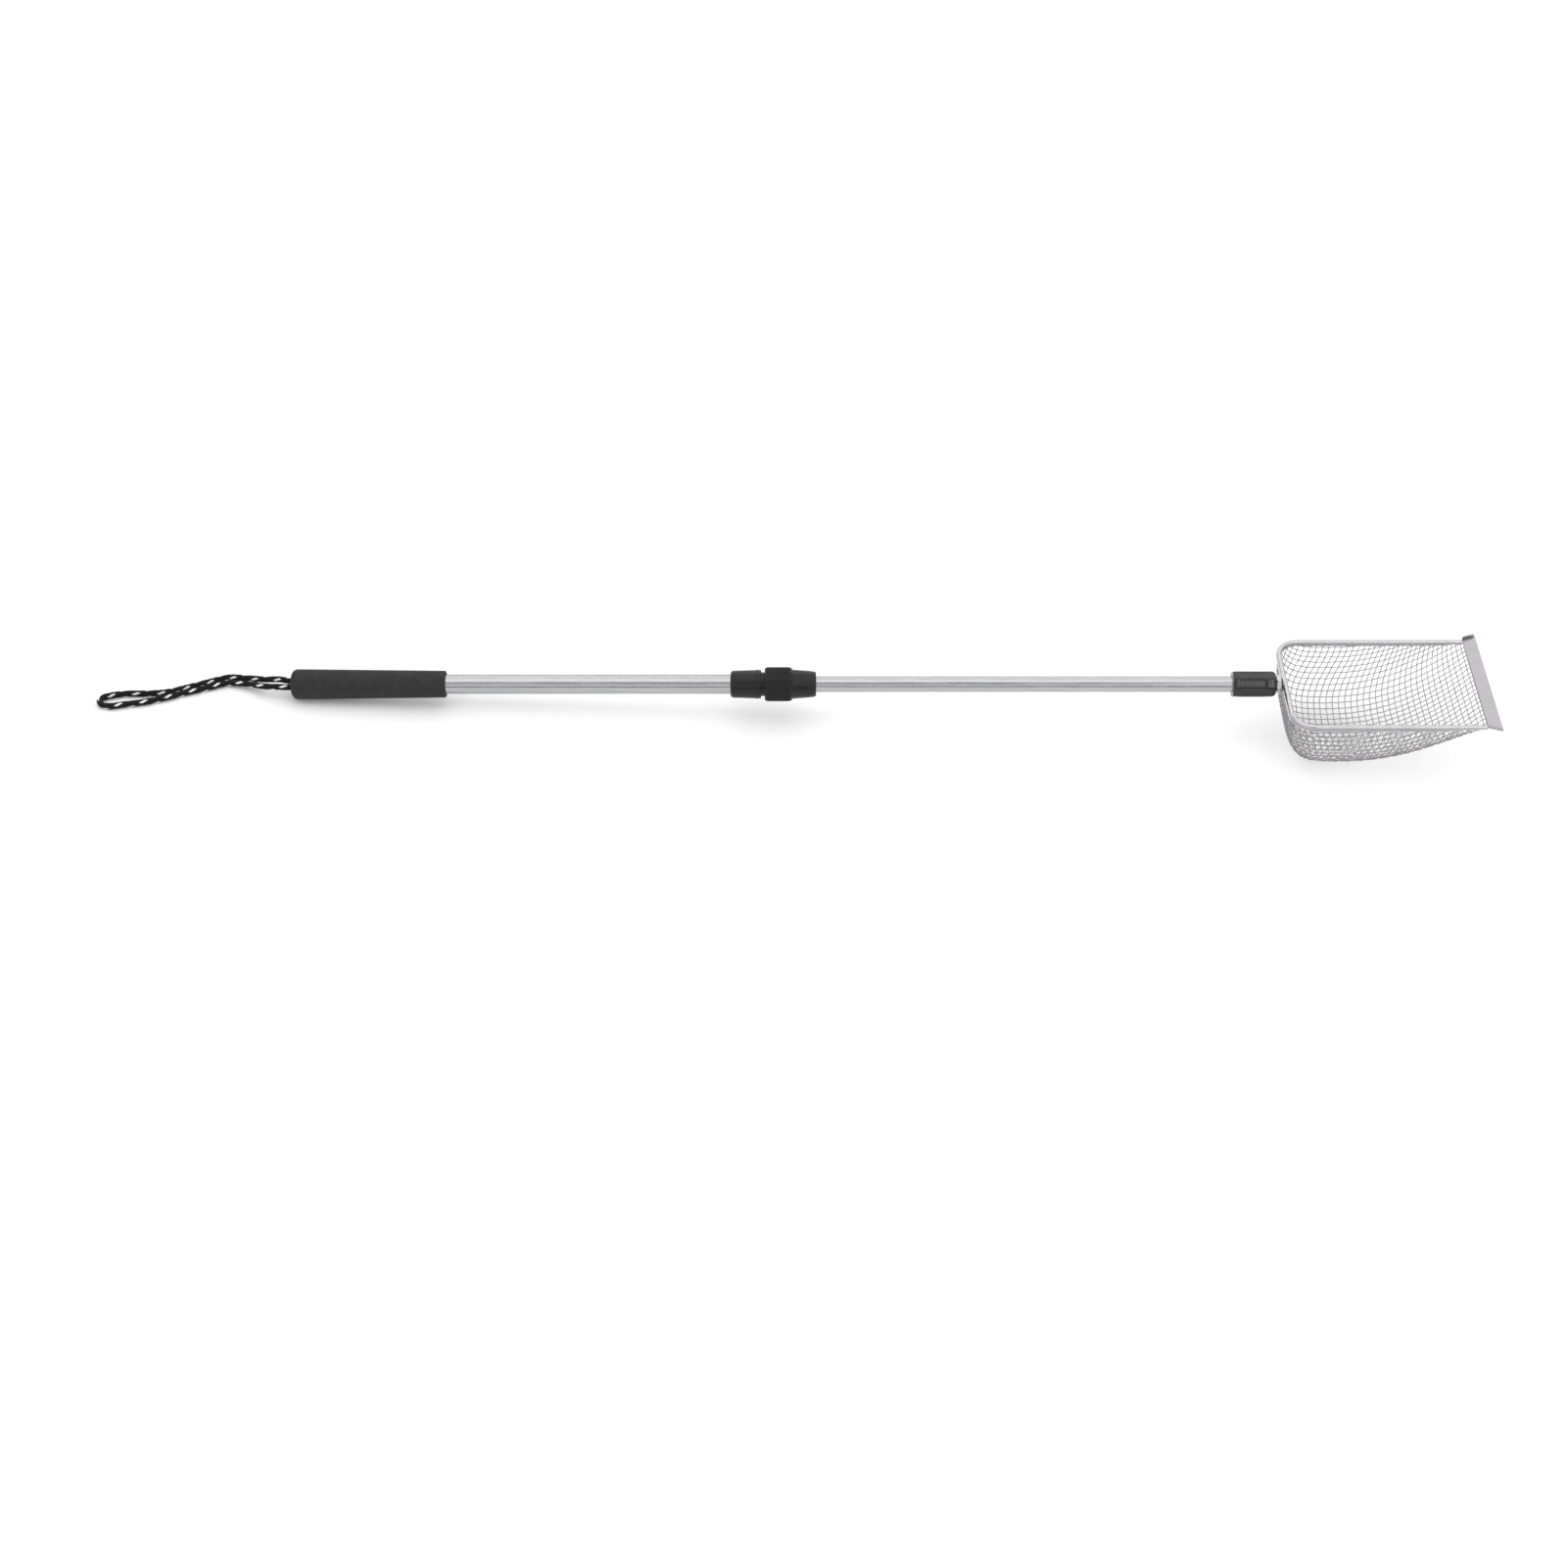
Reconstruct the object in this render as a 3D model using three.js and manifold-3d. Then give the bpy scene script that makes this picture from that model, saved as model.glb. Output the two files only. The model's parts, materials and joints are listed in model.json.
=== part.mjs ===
// A telescopic skimmer scoop with a wire-mesh basket, for lifting leaves and debris out of
// pools, spas and ponds. Two aluminium tubes slide in each other and are held by a twist lock;
// the steel-rimmed basket screws into a cap on the inner tube.
// Units are millimetres, +Z is up. The scoop lies at rest on the floor: the butt of the grip
// and the belly of the basket touch z = 0, so the pole climbs gently towards the basket.
import * as THREE from "three";
import { mergeVertices } from "three/addons/utils/BufferGeometryUtils.js";
import Module from "manifold-3d";

const wasm = await Module();
wasm.setup();

// ---- Driving dimensions. Stations are measured along the pole from the butt of the grip. ----
const GAP = 0.3; // room kept between pieces that touch
const ROUND = 36; // facets round a turned piece
const REST_PITCH = THREE.MathUtils.degToRad(3.185); // nose-up angle of the pole at rest

// handle end
const GRIP_LENGTH = 126;
const GRIP_BUTT_RADIUS = 12.25;
const GRIP_FRONT_RADIUS = 11;
const GRIP_EDGE_ROUND = 6;
const GRIP_END_WALL = 4;
const SLOT_LENGTH = 13.4; // cord slot in the butt
const PLUG_SLOT_LENGTH = 11.6; // and in the plug behind it
const SLOT_WIDTH = 6;
const PLUG_LENGTH = 12;
const KNOT_LENGTH = 13;
const KNOT_RADIUS = 6.2;

// tubes
const OUTER_TUBE_RADIUS = 8;
const OUTER_TUBE_WALL = 1;
const OUTER_TUBE_END = 371.5;
const INNER_TUBE_RADIUS = 6.5;
const INNER_TUBE_WALL = 0.9;
const INNER_TUBE_START = 371.8;
const INNER_TUBE_END = 798;
const SLIDING_GAP = 0.15; // between the inner tube and what guides it
const BUSH_SPIGOT = 12;
const BUSH_FLANGE = 3;

// twist lock
const LOCK_START = 358.3;
const COLLAR_END = 383.3;
const COLLAR_REAR_RADIUS = 10.9;
const COLLAR_FRONT_RADIUS = 12;
const NECK_RADIUS = 9.8;
const NUT_START = 386.2;
const KNURL_END = 408.6;
const KNURL_RADIUS = 14;
const KNURL_RIBS = 24;
const RIB_DEPTH = 0.7;
const LOCK_END = 428.2;
const CONE_REAR_RADIUS = 12;
const CONE_FRONT_RADIUS = 10.2;
const SPIGOT_RADIUS = 9.3; // envelope of the male thread
const SPIGOT_END = 402;
const COLLET_END = 413;
const COLLET_REAR_RADIUS = 9;
const COLLET_FRONT_RADIUS = 8.2;
const THRUST_RING_END = 418;

// cap on the front of the inner tube, and the stud that carries the basket
const CAP_START = 768;
const CAP_END = 803.4;
const CAP_RADIUS = 10.3;
const CAP_FLATS = 8;
const INSERT_LENGTH = 20;
const STUD_RADIUS = 4;
const STUD_START = 782;
const NUT_ACROSS_FLATS = 13;
const NUT_THICKNESS = 4;
const BOSS_RADIUS = 5.6;

// basket, rim and lip
const SCOOP_BACK = 809.4; // outside of the rim behind the basket
const RIM_HALF_WIDTH = 55;
const RIM_CORNER = 20;
const RIM_THICKNESS = 4.4;
const RIM_WALL = 1; // sheet of the outer wall
const FOLD_STOP = 7; // distance from the lip at which the inner fold ends
const RIM_TOP = 2;
const RIM_BOTTOM = -3;
const FOLD_BOTTOM = -0.9; // the inner fold is lower than the outer wall
const RIM_TAPER = 45; // length over which the side rails get lower towards the lip
const RIM_TIP_BOTTOM = -0.6;
const LIP_BACK = 966.4;
const LIP_FRONT = 978;
const LIP_FLARE = 4; // each end of the lip runs out sideways by this much
const LIP_THICKNESS = 1.6;
const LIP_EAR_HEIGHT = 2.6;
const LIP_EAR_THICKNESS = 1;
const STRIP_DEPTH = 6;
const STRIP_THICKNESS = 0.8;
const MESH_TOP = -0.5; // level of the mesh's edge inside the rim
const MESH_DEPTH = 58.3;
const MESH_THICKNESS = 0.6; // one wire
const GROOVE_WIDTH = 2.2; // room for the mesh's edge inside the rim
const GROOVE_HEADROOM = 0.8;
const MESH_DEEPEST = 43; // behind the front wall's ramp, from the mesh's rear edge
const MESH_LENGTH = 155;
const MESH_TUCK = 5; // flat edge that lies under the lip
const WALL_POWER = 3.2; // how square the rear wall turns into the bottom
const RAMP_POWER = 2.3; // how the bottom climbs to the lip
const SIDE_POWER = 3; // how square the side walls turn into the bottom

// wrist cord
const CORD_RADIUS = 2.5;
const CORD_SIDES = 10;
const CORD_STEPS = 72;

// ---- Helpers ----
const steel = (colour, roughness) =>
  new THREE.MeshStandardMaterial({ color: colour, roughness, metalness: 1 });
const plastic = (colour, roughness) =>
  new THREE.MeshStandardMaterial({ color: colour, roughness, metalness: 0 });

function piece(name, geometry, material) {
  const mesh = new THREE.Mesh(geometry, material);
  mesh.name = name;
  return mesh;
}

function toSolid(geometry) {
  const bare = geometry.clone();
  bare.deleteAttribute("normal");
  bare.deleteAttribute("uv");
  const merged = mergeVertices(bare, 1e-4);
  return new wasm.Manifold(
    new wasm.Mesh({
      numProp: 3,
      vertProperties: merged.attributes.position.array,
      triVerts: new Uint32Array(merged.index.array),
    }),
  );
}

function toGeometry(solid) {
  const mesh = solid.getMesh();
  const geometry = new THREE.BufferGeometry();
  geometry.setAttribute("position", new THREE.BufferAttribute(mesh.vertProperties, 3));
  geometry.setIndex(new THREE.BufferAttribute(mesh.triVerts, 1));
  geometry.computeVertexNormals();
  return geometry;
}

// A closed outline of [station, radius] pairs turned about the pole's axis.
function turned(outline, facets = ROUND) {
  const points = outline.map(([station, radius]) => new THREE.Vector2(radius, station));
  points.push(points[0].clone());
  return new THREE.LatheGeometry(points, facets).rotateZ(-Math.PI / 2);
}

// A ring or tube with straight walls.
function sleeve(start, end, inner, outer, facets = ROUND) {
  return turned([[start, inner], [start, outer], [end, outer], [end, inner]], facets);
}

// A solid turned piece: its outline runs from the axis out and back to the axis.
function solidTurned(outline, facets = ROUND) {
  const points = outline.map(([station, radius]) => new THREE.Vector2(radius, station));
  return new THREE.LatheGeometry(points, facets).rotateZ(-Math.PI / 2);
}

// Points of a quarter-round edge, from one angle to another about its centre.
function arc(station, radius, round, from, to, steps = 5) {
  return Array.from({ length: steps + 1 }, (_, i) => {
    const angle = from + ((to - from) * i) / steps;
    return [station + round * Math.cos(angle), radius + round * Math.sin(angle)];
  });
}

// A flat shape drawn across the pole (y sideways, z up) and run along it.
function alongPole(shape, start, end) {
  const geometry = new THREE.ExtrudeGeometry(shape, {
    depth: end - start,
    bevelEnabled: false,
    curveSegments: 10,
  });
  return geometry.rotateY(Math.PI / 2).rotateX(Math.PI / 2).translate(start, 0, 0);
}

function slotShape(length, width) {
  const half = (length - width) / 2;
  const shape = new THREE.Shape();
  shape.absarc(half, 0, width / 2, -Math.PI / 2, Math.PI / 2, false);
  shape.absarc(-half, 0, width / 2, Math.PI / 2, (3 * Math.PI) / 2, false);
  return shape;
}

function polygonShape(sides, acrossFlats, turn = 0) {
  const radius = acrossFlats / 2 / Math.cos(Math.PI / sides);
  const shape = new THREE.Shape();
  for (let i = 0; i < sides; i++) {
    const angle = turn + (2 * Math.PI * (i + 0.5)) / sides;
    const go = i ? "lineTo" : "moveTo";
    shape[go](radius * Math.cos(angle), radius * Math.sin(angle));
  }
  return shape;
}

// ---- Handle end ----
function makeGrip() {
  const bore = OUTER_TUBE_RADIUS + GAP;
  const butt = arc(
    GRIP_EDGE_ROUND,
    GRIP_BUTT_RADIUS - GRIP_EDGE_ROUND,
    GRIP_EDGE_ROUND,
    Math.PI,
    Math.PI / 2,
  );
  const body = solidTurned([
    [0, 0],
    ...butt,
    [GRIP_LENGTH - 1.5, GRIP_FRONT_RADIUS],
    [GRIP_LENGTH, GRIP_FRONT_RADIUS - 1],
    [GRIP_LENGTH, bore],
    [GRIP_END_WALL, bore],
    [GRIP_END_WALL, 0],
  ]);
  const slot = alongPole(slotShape(SLOT_LENGTH, SLOT_WIDTH), -1, GRIP_END_WALL + 1);
  return toGeometry(toSolid(body).subtract(toSolid(slot)));
}

function makeEndPlug() {
  const start = GRIP_END_WALL + GAP;
  const radius = OUTER_TUBE_RADIUS - OUTER_TUBE_WALL - GAP;
  const end = start + PLUG_LENGTH;
  const body = solidTurned([[start, 0], [start, radius], [end, radius], [end, 0]]);
  const slot = alongPole(slotShape(PLUG_SLOT_LENGTH, SLOT_WIDTH), start - 1, end + 1);
  return toGeometry(toSolid(body).subtract(toSolid(slot)));
}

function makeCordKnot() {
  const start = GRIP_END_WALL + PLUG_LENGTH + 3 * GAP;
  const half = KNOT_LENGTH / 2;
  const outline = Array.from({ length: 9 }, (_, i) => {
    const angle = (Math.PI * i) / 8;
    return [start + half - half * Math.cos(angle), KNOT_RADIUS * Math.sin(angle)];
  });
  outline[8][1] = 0;
  return solidTurned(outline, 20);
}

// The loop leaves the butt as two strands, drops to the floor and lies there. The points are
// in the resting position, not along the pole.
function makeWristCord() {
  const route = [
    [-471.9, 2.9, 12.79],
    [-484, 3.1, 12.12],
    [-491, 4.2, 11.7],
    [-500, 6.4, 10.9],
    [-511, 7.9, 8.8],
    [-526, 12.6, 5.2],
    [-543, 14.8, 3.1],
    [-557, 9, 2.8],
    [-574, 0.8, 2.8],
    [-590.5, -6.2, 2.8],
    [-606, -8.6, 2.8],
    [-621, -9.7, 2.8],
    [-633, -12.6, 2.8],
    [-639.2, -15.8, 2.8],
    [-641, -20.2, 2.8],
    [-638.2, -24.4, 2.8],
    [-632, -25.7, 2.8],
    [-621, -22.8, 2.8],
    [-606, -19.2, 2.8],
    [-590.5, -13, 2.8],
    [-574, -5.3, 2.8],
    [-557, 2, 2.8],
    [-543, 7.8, 3.1],
    [-526, 5.6, 5.2],
    [-511, -0.6, 8.8],
    [-500, -2.9, 10.9],
    [-491, -3.7, 11.7],
    [-484, -3.1, 12.12],
    [-471.9, -2.9, 12.79],
  ];
  const path = new THREE.CatmullRomCurve3(route.map((p) => new THREE.Vector3(...p)));
  const section = new THREE.Shape();
  section.absarc(0, 0, CORD_RADIUS, 0, 2 * Math.PI, false);
  return new THREE.ExtrudeGeometry(section, {
    steps: CORD_STEPS,
    curveSegments: CORD_SIDES / 2,
    bevelEnabled: false,
    extrudePath: path,
  });
}

// ---- Tubes ----
function makeOuterTube() {
  const bore = OUTER_TUBE_RADIUS - OUTER_TUBE_WALL;
  return sleeve(GRIP_END_WALL + GAP, OUTER_TUBE_END, bore, OUTER_TUBE_RADIUS);
}

function makeInnerTube() {
  const bore = INNER_TUBE_RADIUS - INNER_TUBE_WALL;
  return sleeve(INNER_TUBE_START, INNER_TUBE_END, bore, INNER_TUBE_RADIUS);
}

// Its flange slides in the outer tube and stops the inner tube at the lock body's throat.
function makeGuideBush() {
  const end = INNER_TUBE_START - GAP;
  const spigot = INNER_TUBE_RADIUS - INNER_TUBE_WALL - GAP;
  const flange = OUTER_TUBE_RADIUS - OUTER_TUBE_WALL - SLIDING_GAP;
  return solidTurned([
    [end - BUSH_FLANGE, 0],
    [end - BUSH_FLANGE, flange],
    [end, flange],
    [end, spigot],
    [end + BUSH_SPIGOT, spigot],
    [end + BUSH_SPIGOT, 0],
  ]);
}

// ---- Twist lock ----
function makeLockBody() {
  const tubeBore = OUTER_TUBE_RADIUS + GAP;
  const throat = INNER_TUBE_RADIUS + SLIDING_GAP;
  const stop = OUTER_TUBE_END + GAP;
  const rear = arc(LOCK_START + 2, COLLAR_REAR_RADIUS - 2, 2, Math.PI, Math.PI / 2, 4);
  return turned([
    [LOCK_START, tubeBore],
    ...rear,
    [COLLAR_END - 1, COLLAR_FRONT_RADIUS],
    [COLLAR_END, COLLAR_FRONT_RADIUS - 1],
    [COLLAR_END, NECK_RADIUS],
    [NUT_START - GAP, NECK_RADIUS],
    [NUT_START - GAP, SPIGOT_RADIUS],
    [SPIGOT_END, SPIGOT_RADIUS],
    [SPIGOT_END, throat],
    [stop, throat],
    [stop, tubeBore],
  ]);
}

// A split ring: the nut's cone squeezes it on to the inner tube.
function makeCollet() {
  const throat = INNER_TUBE_RADIUS + GAP;
  const ring = turned([
    [SPIGOT_END + GAP, throat],
    [SPIGOT_END + GAP, COLLET_REAR_RADIUS],
    [COLLET_END, COLLET_FRONT_RADIUS],
    [COLLET_END, throat],
  ]);
  const split = new THREE.BoxGeometry(30, 1.6, 20).translate(COLLET_END - 5, 0, -10);
  return toGeometry(toSolid(ring).subtract(toSolid(split)));
}

function makeThrustRing() {
  const throat = INNER_TUBE_RADIUS + GAP;
  return sleeve(COLLET_END + 0.5, THRUST_RING_END, throat, COLLET_FRONT_RADIUS);
}

// Knurled ring and long cone in one piece. The cavity clears the thread, collet and thrust ring.
function makeLockNut() {
  const throat = INNER_TUBE_RADIUS + GAP;
  const cavity = SPIGOT_RADIUS + GAP;
  const seat = COLLET_FRONT_RADIUS + GAP;
  const core = KNURL_RADIUS - RIB_DEPTH;
  const body = turned([
    [NUT_START, cavity],
    [NUT_START, core - 2],
    [NUT_START + 2, core],
    [KNURL_END - 2, core],
    [KNURL_END, core - 2],
    [KNURL_END, CONE_REAR_RADIUS],
    [LOCK_END - 1, CONE_FRONT_RADIUS],
    [LOCK_END, CONE_FRONT_RADIUS - 1],
    [LOCK_END, throat + 0.9],
    [THRUST_RING_END + 5, throat + 0.9],
    [THRUST_RING_END + 5, throat],
    [THRUST_RING_END + GAP, throat],
    [THRUST_RING_END + GAP, seat],
    [COLLET_END, seat],
    [SPIGOT_END + 1, cavity],
  ]);
  const ribStart = NUT_START + 2.2;
  const ribLength = KNURL_END - 2.2 - ribStart;
  const ribWidth = (Math.PI * KNURL_RADIUS) / KNURL_RIBS;
  let nut = toSolid(body);
  for (let i = 0; i < KNURL_RIBS; i++) {
    const rib = new THREE.BoxGeometry(ribLength, ribWidth, 2 * RIB_DEPTH + 0.6)
      .translate(ribStart + ribLength / 2, 0, KNURL_RADIUS - RIB_DEPTH - 0.3)
      .rotateX((2 * Math.PI * i) / KNURL_RIBS);
    nut = nut.add(toSolid(rib));
  }
  return toGeometry(nut);
}

function makeWiperSeal() {
  const throat = INNER_TUBE_RADIUS + GAP;
  return sleeve(THRUST_RING_END + 5 + GAP, LOCK_END - 0.4, throat - 0.15, throat + 0.6);
}

// ---- Cap, stud and nut ----
function makeEndCap() {
  const round = solidTurned([
    [CAP_START, 0],
    [CAP_START, CAP_RADIUS - 0.6],
    [CAP_START + 1.2, CAP_RADIUS + 0.8],
    [CAP_END - 6, CAP_RADIUS + 0.8],
    ...arc(CAP_END - 5, CAP_RADIUS - 5, 5, Math.PI / 2, 0),
    [CAP_END, 0],
  ]);
  const octagon = polygonShape(CAP_FLATS, 2 * CAP_RADIUS);
  const prism = alongPole(octagon, CAP_START - 1, CAP_END + 1);
  const cavity = solidTurned([
    [CAP_START - 1, 0],
    [CAP_START - 1, INNER_TUBE_RADIUS + GAP],
    [INNER_TUBE_END + GAP, INNER_TUBE_RADIUS + GAP],
    [INNER_TUBE_END + GAP, STUD_RADIUS + GAP],
    [CAP_END + 1, STUD_RADIUS + GAP],
    [CAP_END + 1, 0],
  ]);
  return toGeometry(toSolid(round).intersect(toSolid(prism)).subtract(toSolid(cavity)));
}

function makeThreadedInsert() {
  const outer = INNER_TUBE_RADIUS - INNER_TUBE_WALL - GAP;
  const end = INNER_TUBE_END - 0.5;
  return sleeve(end - INSERT_LENGTH, end, STUD_RADIUS + GAP, outer);
}

function makeJamNut() {
  const start = CAP_END + GAP;
  const hexagon = polygonShape(6, NUT_ACROSS_FLATS, Math.PI / 6);
  const hole = new THREE.Path();
  hole.absarc(0, 0, STUD_RADIUS + GAP, 0, 2 * Math.PI, true);
  hexagon.holes.push(hole);
  return alongPole(hexagon, start, start + NUT_THICKNESS);
}

// Threaded rod with a flared boss that is welded to the rim.
function makeScoopStud() {
  const bossStart = CAP_END + NUT_THICKNESS + 2 * GAP;
  return solidTurned([
    [STUD_START, 0],
    [STUD_START, STUD_RADIUS - 0.8],
    [STUD_START + 0.8, STUD_RADIUS],
    [bossStart, STUD_RADIUS],
    [SCOOP_BACK - GAP, BOSS_RADIUS],
    [SCOOP_BACK - GAP, 0],
  ]);
}

// ---- Basket ----
// Half width of the mesh's edge, at a distance from its rear edge: straight sides, round corners.
function meshHalfWidth(x) {
  const corner = RIM_CORNER - RIM_THICKNESS / 2;
  const inset = Math.max(0, corner - x);
  const round = Math.sqrt(Math.max(0, corner * corner - inset * inset));
  return RIM_HALF_WIDTH - RIM_THICKNESS / 2 - corner + round;
}

// Point of the mesh's middle surface. along runs 0..1 from the rear edge over the bottom to the
// lip; across runs -1..1 from one side edge to the other. The bottom is a rounded wall behind
// the deepest place and a ramp in front of it; each cross-section is a squarish half round.
function meshPoint(along, across) {
  const WALL_SHARE = 0.42;
  let x;
  let depth;
  if (along < WALL_SHARE) {
    const angle = (Math.PI / 2) * (along / WALL_SHARE);
    x = MESH_DEEPEST * (1 - Math.cos(angle) ** (2 / WALL_POWER));
    depth = MESH_DEPTH * Math.sin(angle) ** (2 / WALL_POWER);
  } else {
    const t = (along - WALL_SHARE) / (1 - WALL_SHARE);
    x = MESH_DEEPEST + (MESH_LENGTH - MESH_DEEPEST) * t;
    depth = MESH_DEPTH * (1 - t ** RAMP_POWER);
  }
  const angle = (Math.PI / 2) * across;
  const side = Math.sign(across) * Math.abs(Math.sin(angle)) ** (2 / SIDE_POWER);
  const drop = Math.max(0, Math.cos(angle)) ** (2 / SIDE_POWER);
  return new THREE.Vector3(
    SCOOP_BACK + RIM_THICKNESS / 2 + x,
    meshHalfWidth(x) * side,
    MESH_TOP - depth * drop,
  );
}

// The mesh as one thin closed shell of the given thickness, with its flat edge under the lip.
// A raised edge is for the groove that the rim keeps round the mesh.
function meshShell(thickness, raised = 0) {
  const LENGTHS = 26;
  const WIDTHS = 26;
  const STEP = 1e-3;
  const middle = [];
  const normals = [];
  for (let i = 0; i <= LENGTHS; i++)
    for (let j = 0; j <= WIDTHS; j++) {
      const along = Math.min(1 - STEP, Math.max(STEP, i / LENGTHS));
      const across = Math.min(1 - STEP, Math.max(STEP - 1, (2 * j) / WIDTHS - 1));
      const a = meshPoint(along + STEP, across).sub(meshPoint(along - STEP, across));
      const b = meshPoint(along, across + STEP).sub(meshPoint(along, across - STEP));
      const point = meshPoint(i / LENGTHS, (2 * j) / WIDTHS - 1);
      if (i === LENGTHS) point.y *= 1 + raised / RIM_HALF_WIDTH;
      else if (i === 0 || j === 0 || j === WIDTHS) point.z += raised;
      middle.push(point);
      normals.push(a.cross(b).normalize());
    }
  for (let j = 0; j <= WIDTHS; j++) {
    const edge = middle[LENGTHS * (WIDTHS + 1) + j].clone();
    edge.x += MESH_TUCK;
    middle.push(edge);
    normals.push(new THREE.Vector3(0, 0, 1));
    normals[LENGTHS * (WIDTHS + 1) + j].set(0, 0, 1);
  }
  const rows = LENGTHS + 2;
  const columns = WIDTHS + 1;
  const half = thickness / 2;
  const inner = middle.map((p, k) => p.clone().addScaledVector(normals[k], half));
  const outer = middle.map((p, k) => p.clone().addScaledVector(normals[k], -half));
  const index = [];
  const quad = (a, b, c, d) => index.push(a, b, c, a, c, d);
  const at = (i, j) => i * columns + j;
  const under = (i, j) => rows * columns + at(i, j);
  for (let i = 0; i + 1 < rows; i++)
    for (let j = 0; j + 1 < columns; j++) {
      quad(at(i, j), at(i + 1, j), at(i + 1, j + 1), at(i, j + 1));
      quad(under(i, j), under(i, j + 1), under(i + 1, j + 1), under(i + 1, j));
    }
  for (let i = 0; i + 1 < rows; i++) {
    quad(at(i, 0), under(i, 0), under(i + 1, 0), at(i + 1, 0));
    const j = columns - 1;
    quad(at(i, j), at(i + 1, j), under(i + 1, j), under(i, j));
  }
  for (let j = 0; j + 1 < columns; j++) {
    quad(at(0, j), at(0, j + 1), under(0, j + 1), under(0, j));
    const i = rows - 1;
    quad(at(i, j), under(i, j), under(i, j + 1), at(i, j + 1));
  }
  const geometry = new THREE.BufferGeometry();
  geometry.setFromPoints([...inner, ...outer]);
  geometry.setIndex(index);
  geometry.computeVertexNormals();
  return geometry;
}

// Plan of the rim: two rails joined behind the basket by round corners.
function rimPlan(inset) {
  const half = RIM_HALF_WIDTH - inset;
  const back = SCOOP_BACK + inset;
  const corner = RIM_CORNER - inset;
  const end = LIP_BACK - GAP;
  const outline = new THREE.Shape();
  outline.moveTo(end, half);
  outline.lineTo(back + corner, half);
  outline.absarc(back + corner, half - corner, corner, Math.PI / 2, Math.PI, false);
  outline.lineTo(back, corner - half);
  outline.absarc(back + corner, corner - half, corner, Math.PI, 1.5 * Math.PI, false);
  outline.lineTo(end, -half);
  return outline;
}

function flatPlate(shape, bottom, top) {
  return new THREE.ExtrudeGeometry(shape, {
    depth: top - bottom,
    bevelEnabled: false,
    curveSegments: 10,
  }).translate(0, 0, bottom);
}

// The steel channel that is folded over the mesh's edge. Its rails get lower towards the lip.
function makeRimChannel() {
  const outside = toSolid(flatPlate(rimPlan(0), RIM_BOTTOM, RIM_TOP));
  const inside = toSolid(
    flatPlate(rimPlan(RIM_THICKNESS), RIM_BOTTOM - 1, RIM_TOP + 1).translate(1, 0, 0),
  );
  const wedge = new THREE.Shape();
  wedge.moveTo(LIP_BACK - RIM_TAPER, RIM_BOTTOM);
  wedge.lineTo(LIP_BACK + 1, RIM_BOTTOM - 1);
  wedge.lineTo(LIP_BACK + 1, RIM_TIP_BOTTOM);
  const taper = new THREE.ExtrudeGeometry(wedge, { depth: 140, bevelEnabled: false })
    .rotateX(Math.PI / 2)
    .translate(0, 70, 0);
  const belowFold = flatPlate(rimPlan(RIM_THICKNESS / 2), RIM_BOTTOM - 1, FOLD_BOTTOM);
  // The inner fold stops short of the lip, where the mesh crosses it.
  const foldGap = new THREE.BoxGeometry(
    2 * FOLD_STOP,
    2 * (RIM_HALF_WIDTH - RIM_WALL),
    2 * FOLD_STOP,
  ).translate(LIP_BACK, 0, MESH_TOP + GROOVE_HEADROOM - FOLD_STOP);
  let bar = outside.subtract(inside).subtract(toSolid(taper));
  bar = bar.subtract(toSolid(foldGap)).subtract(toSolid(belowFold.translate(1, 0, 0)));
  return toGeometry(bar.subtract(toSolid(meshShell(GROOVE_WIDTH, GROOVE_HEADROOM))));
}

function makeMeshBasket() {
  return meshShell(MESH_THICKNESS);
}

// Half width of the lip at a station between its back and its front edge.
function lipHalfWidth(station) {
  return RIM_HALF_WIDTH + (LIP_FLARE * (station - LIP_BACK)) / (LIP_FRONT - LIP_BACK);
}

// A folded sheet with a round front edge, and a low ear turned up at each end.
function makeScoopLip() {
  const bottom = RIM_TOP - LIP_THICKNESS;
  const round = LIP_THICKNESS / 2;
  const section = new THREE.Shape();
  section.moveTo(LIP_BACK, bottom);
  section.lineTo(LIP_FRONT - round, bottom);
  section.absarc(LIP_FRONT - round, bottom + round, round, -Math.PI / 2, Math.PI / 2, false);
  section.lineTo(LIP_BACK, RIM_TOP);
  const sheet = new THREE.ExtrudeGeometry(section, {
    depth: 140,
    bevelEnabled: false,
    curveSegments: 6,
  })
    .rotateX(Math.PI / 2)
    .translate(0, 70, 0);
  const plan = new THREE.Shape();
  plan.moveTo(LIP_BACK, -lipHalfWidth(LIP_BACK));
  plan.lineTo(LIP_FRONT, -lipHalfWidth(LIP_FRONT));
  plan.lineTo(LIP_FRONT, lipHalfWidth(LIP_FRONT));
  plan.lineTo(LIP_BACK, lipHalfWidth(LIP_BACK));
  let lip = toSolid(sheet).intersect(toSolid(flatPlate(plan, bottom - 1, RIM_TOP + 1)));
  for (const side of [-1, 1]) {
    const ear = new THREE.Shape();
    const inset = side * LIP_EAR_THICKNESS;
    const front = LIP_FRONT - round;
    ear.moveTo(LIP_BACK, side * lipHalfWidth(LIP_BACK));
    ear.lineTo(front, side * lipHalfWidth(front));
    ear.lineTo(front, side * lipHalfWidth(front) - inset);
    ear.lineTo(LIP_BACK, side * lipHalfWidth(LIP_BACK) - inset);
    lip = lip.add(toSolid(flatPlate(ear, bottom, RIM_TOP + LIP_EAR_HEIGHT)));
  }
  return toGeometry(lip);
}

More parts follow.
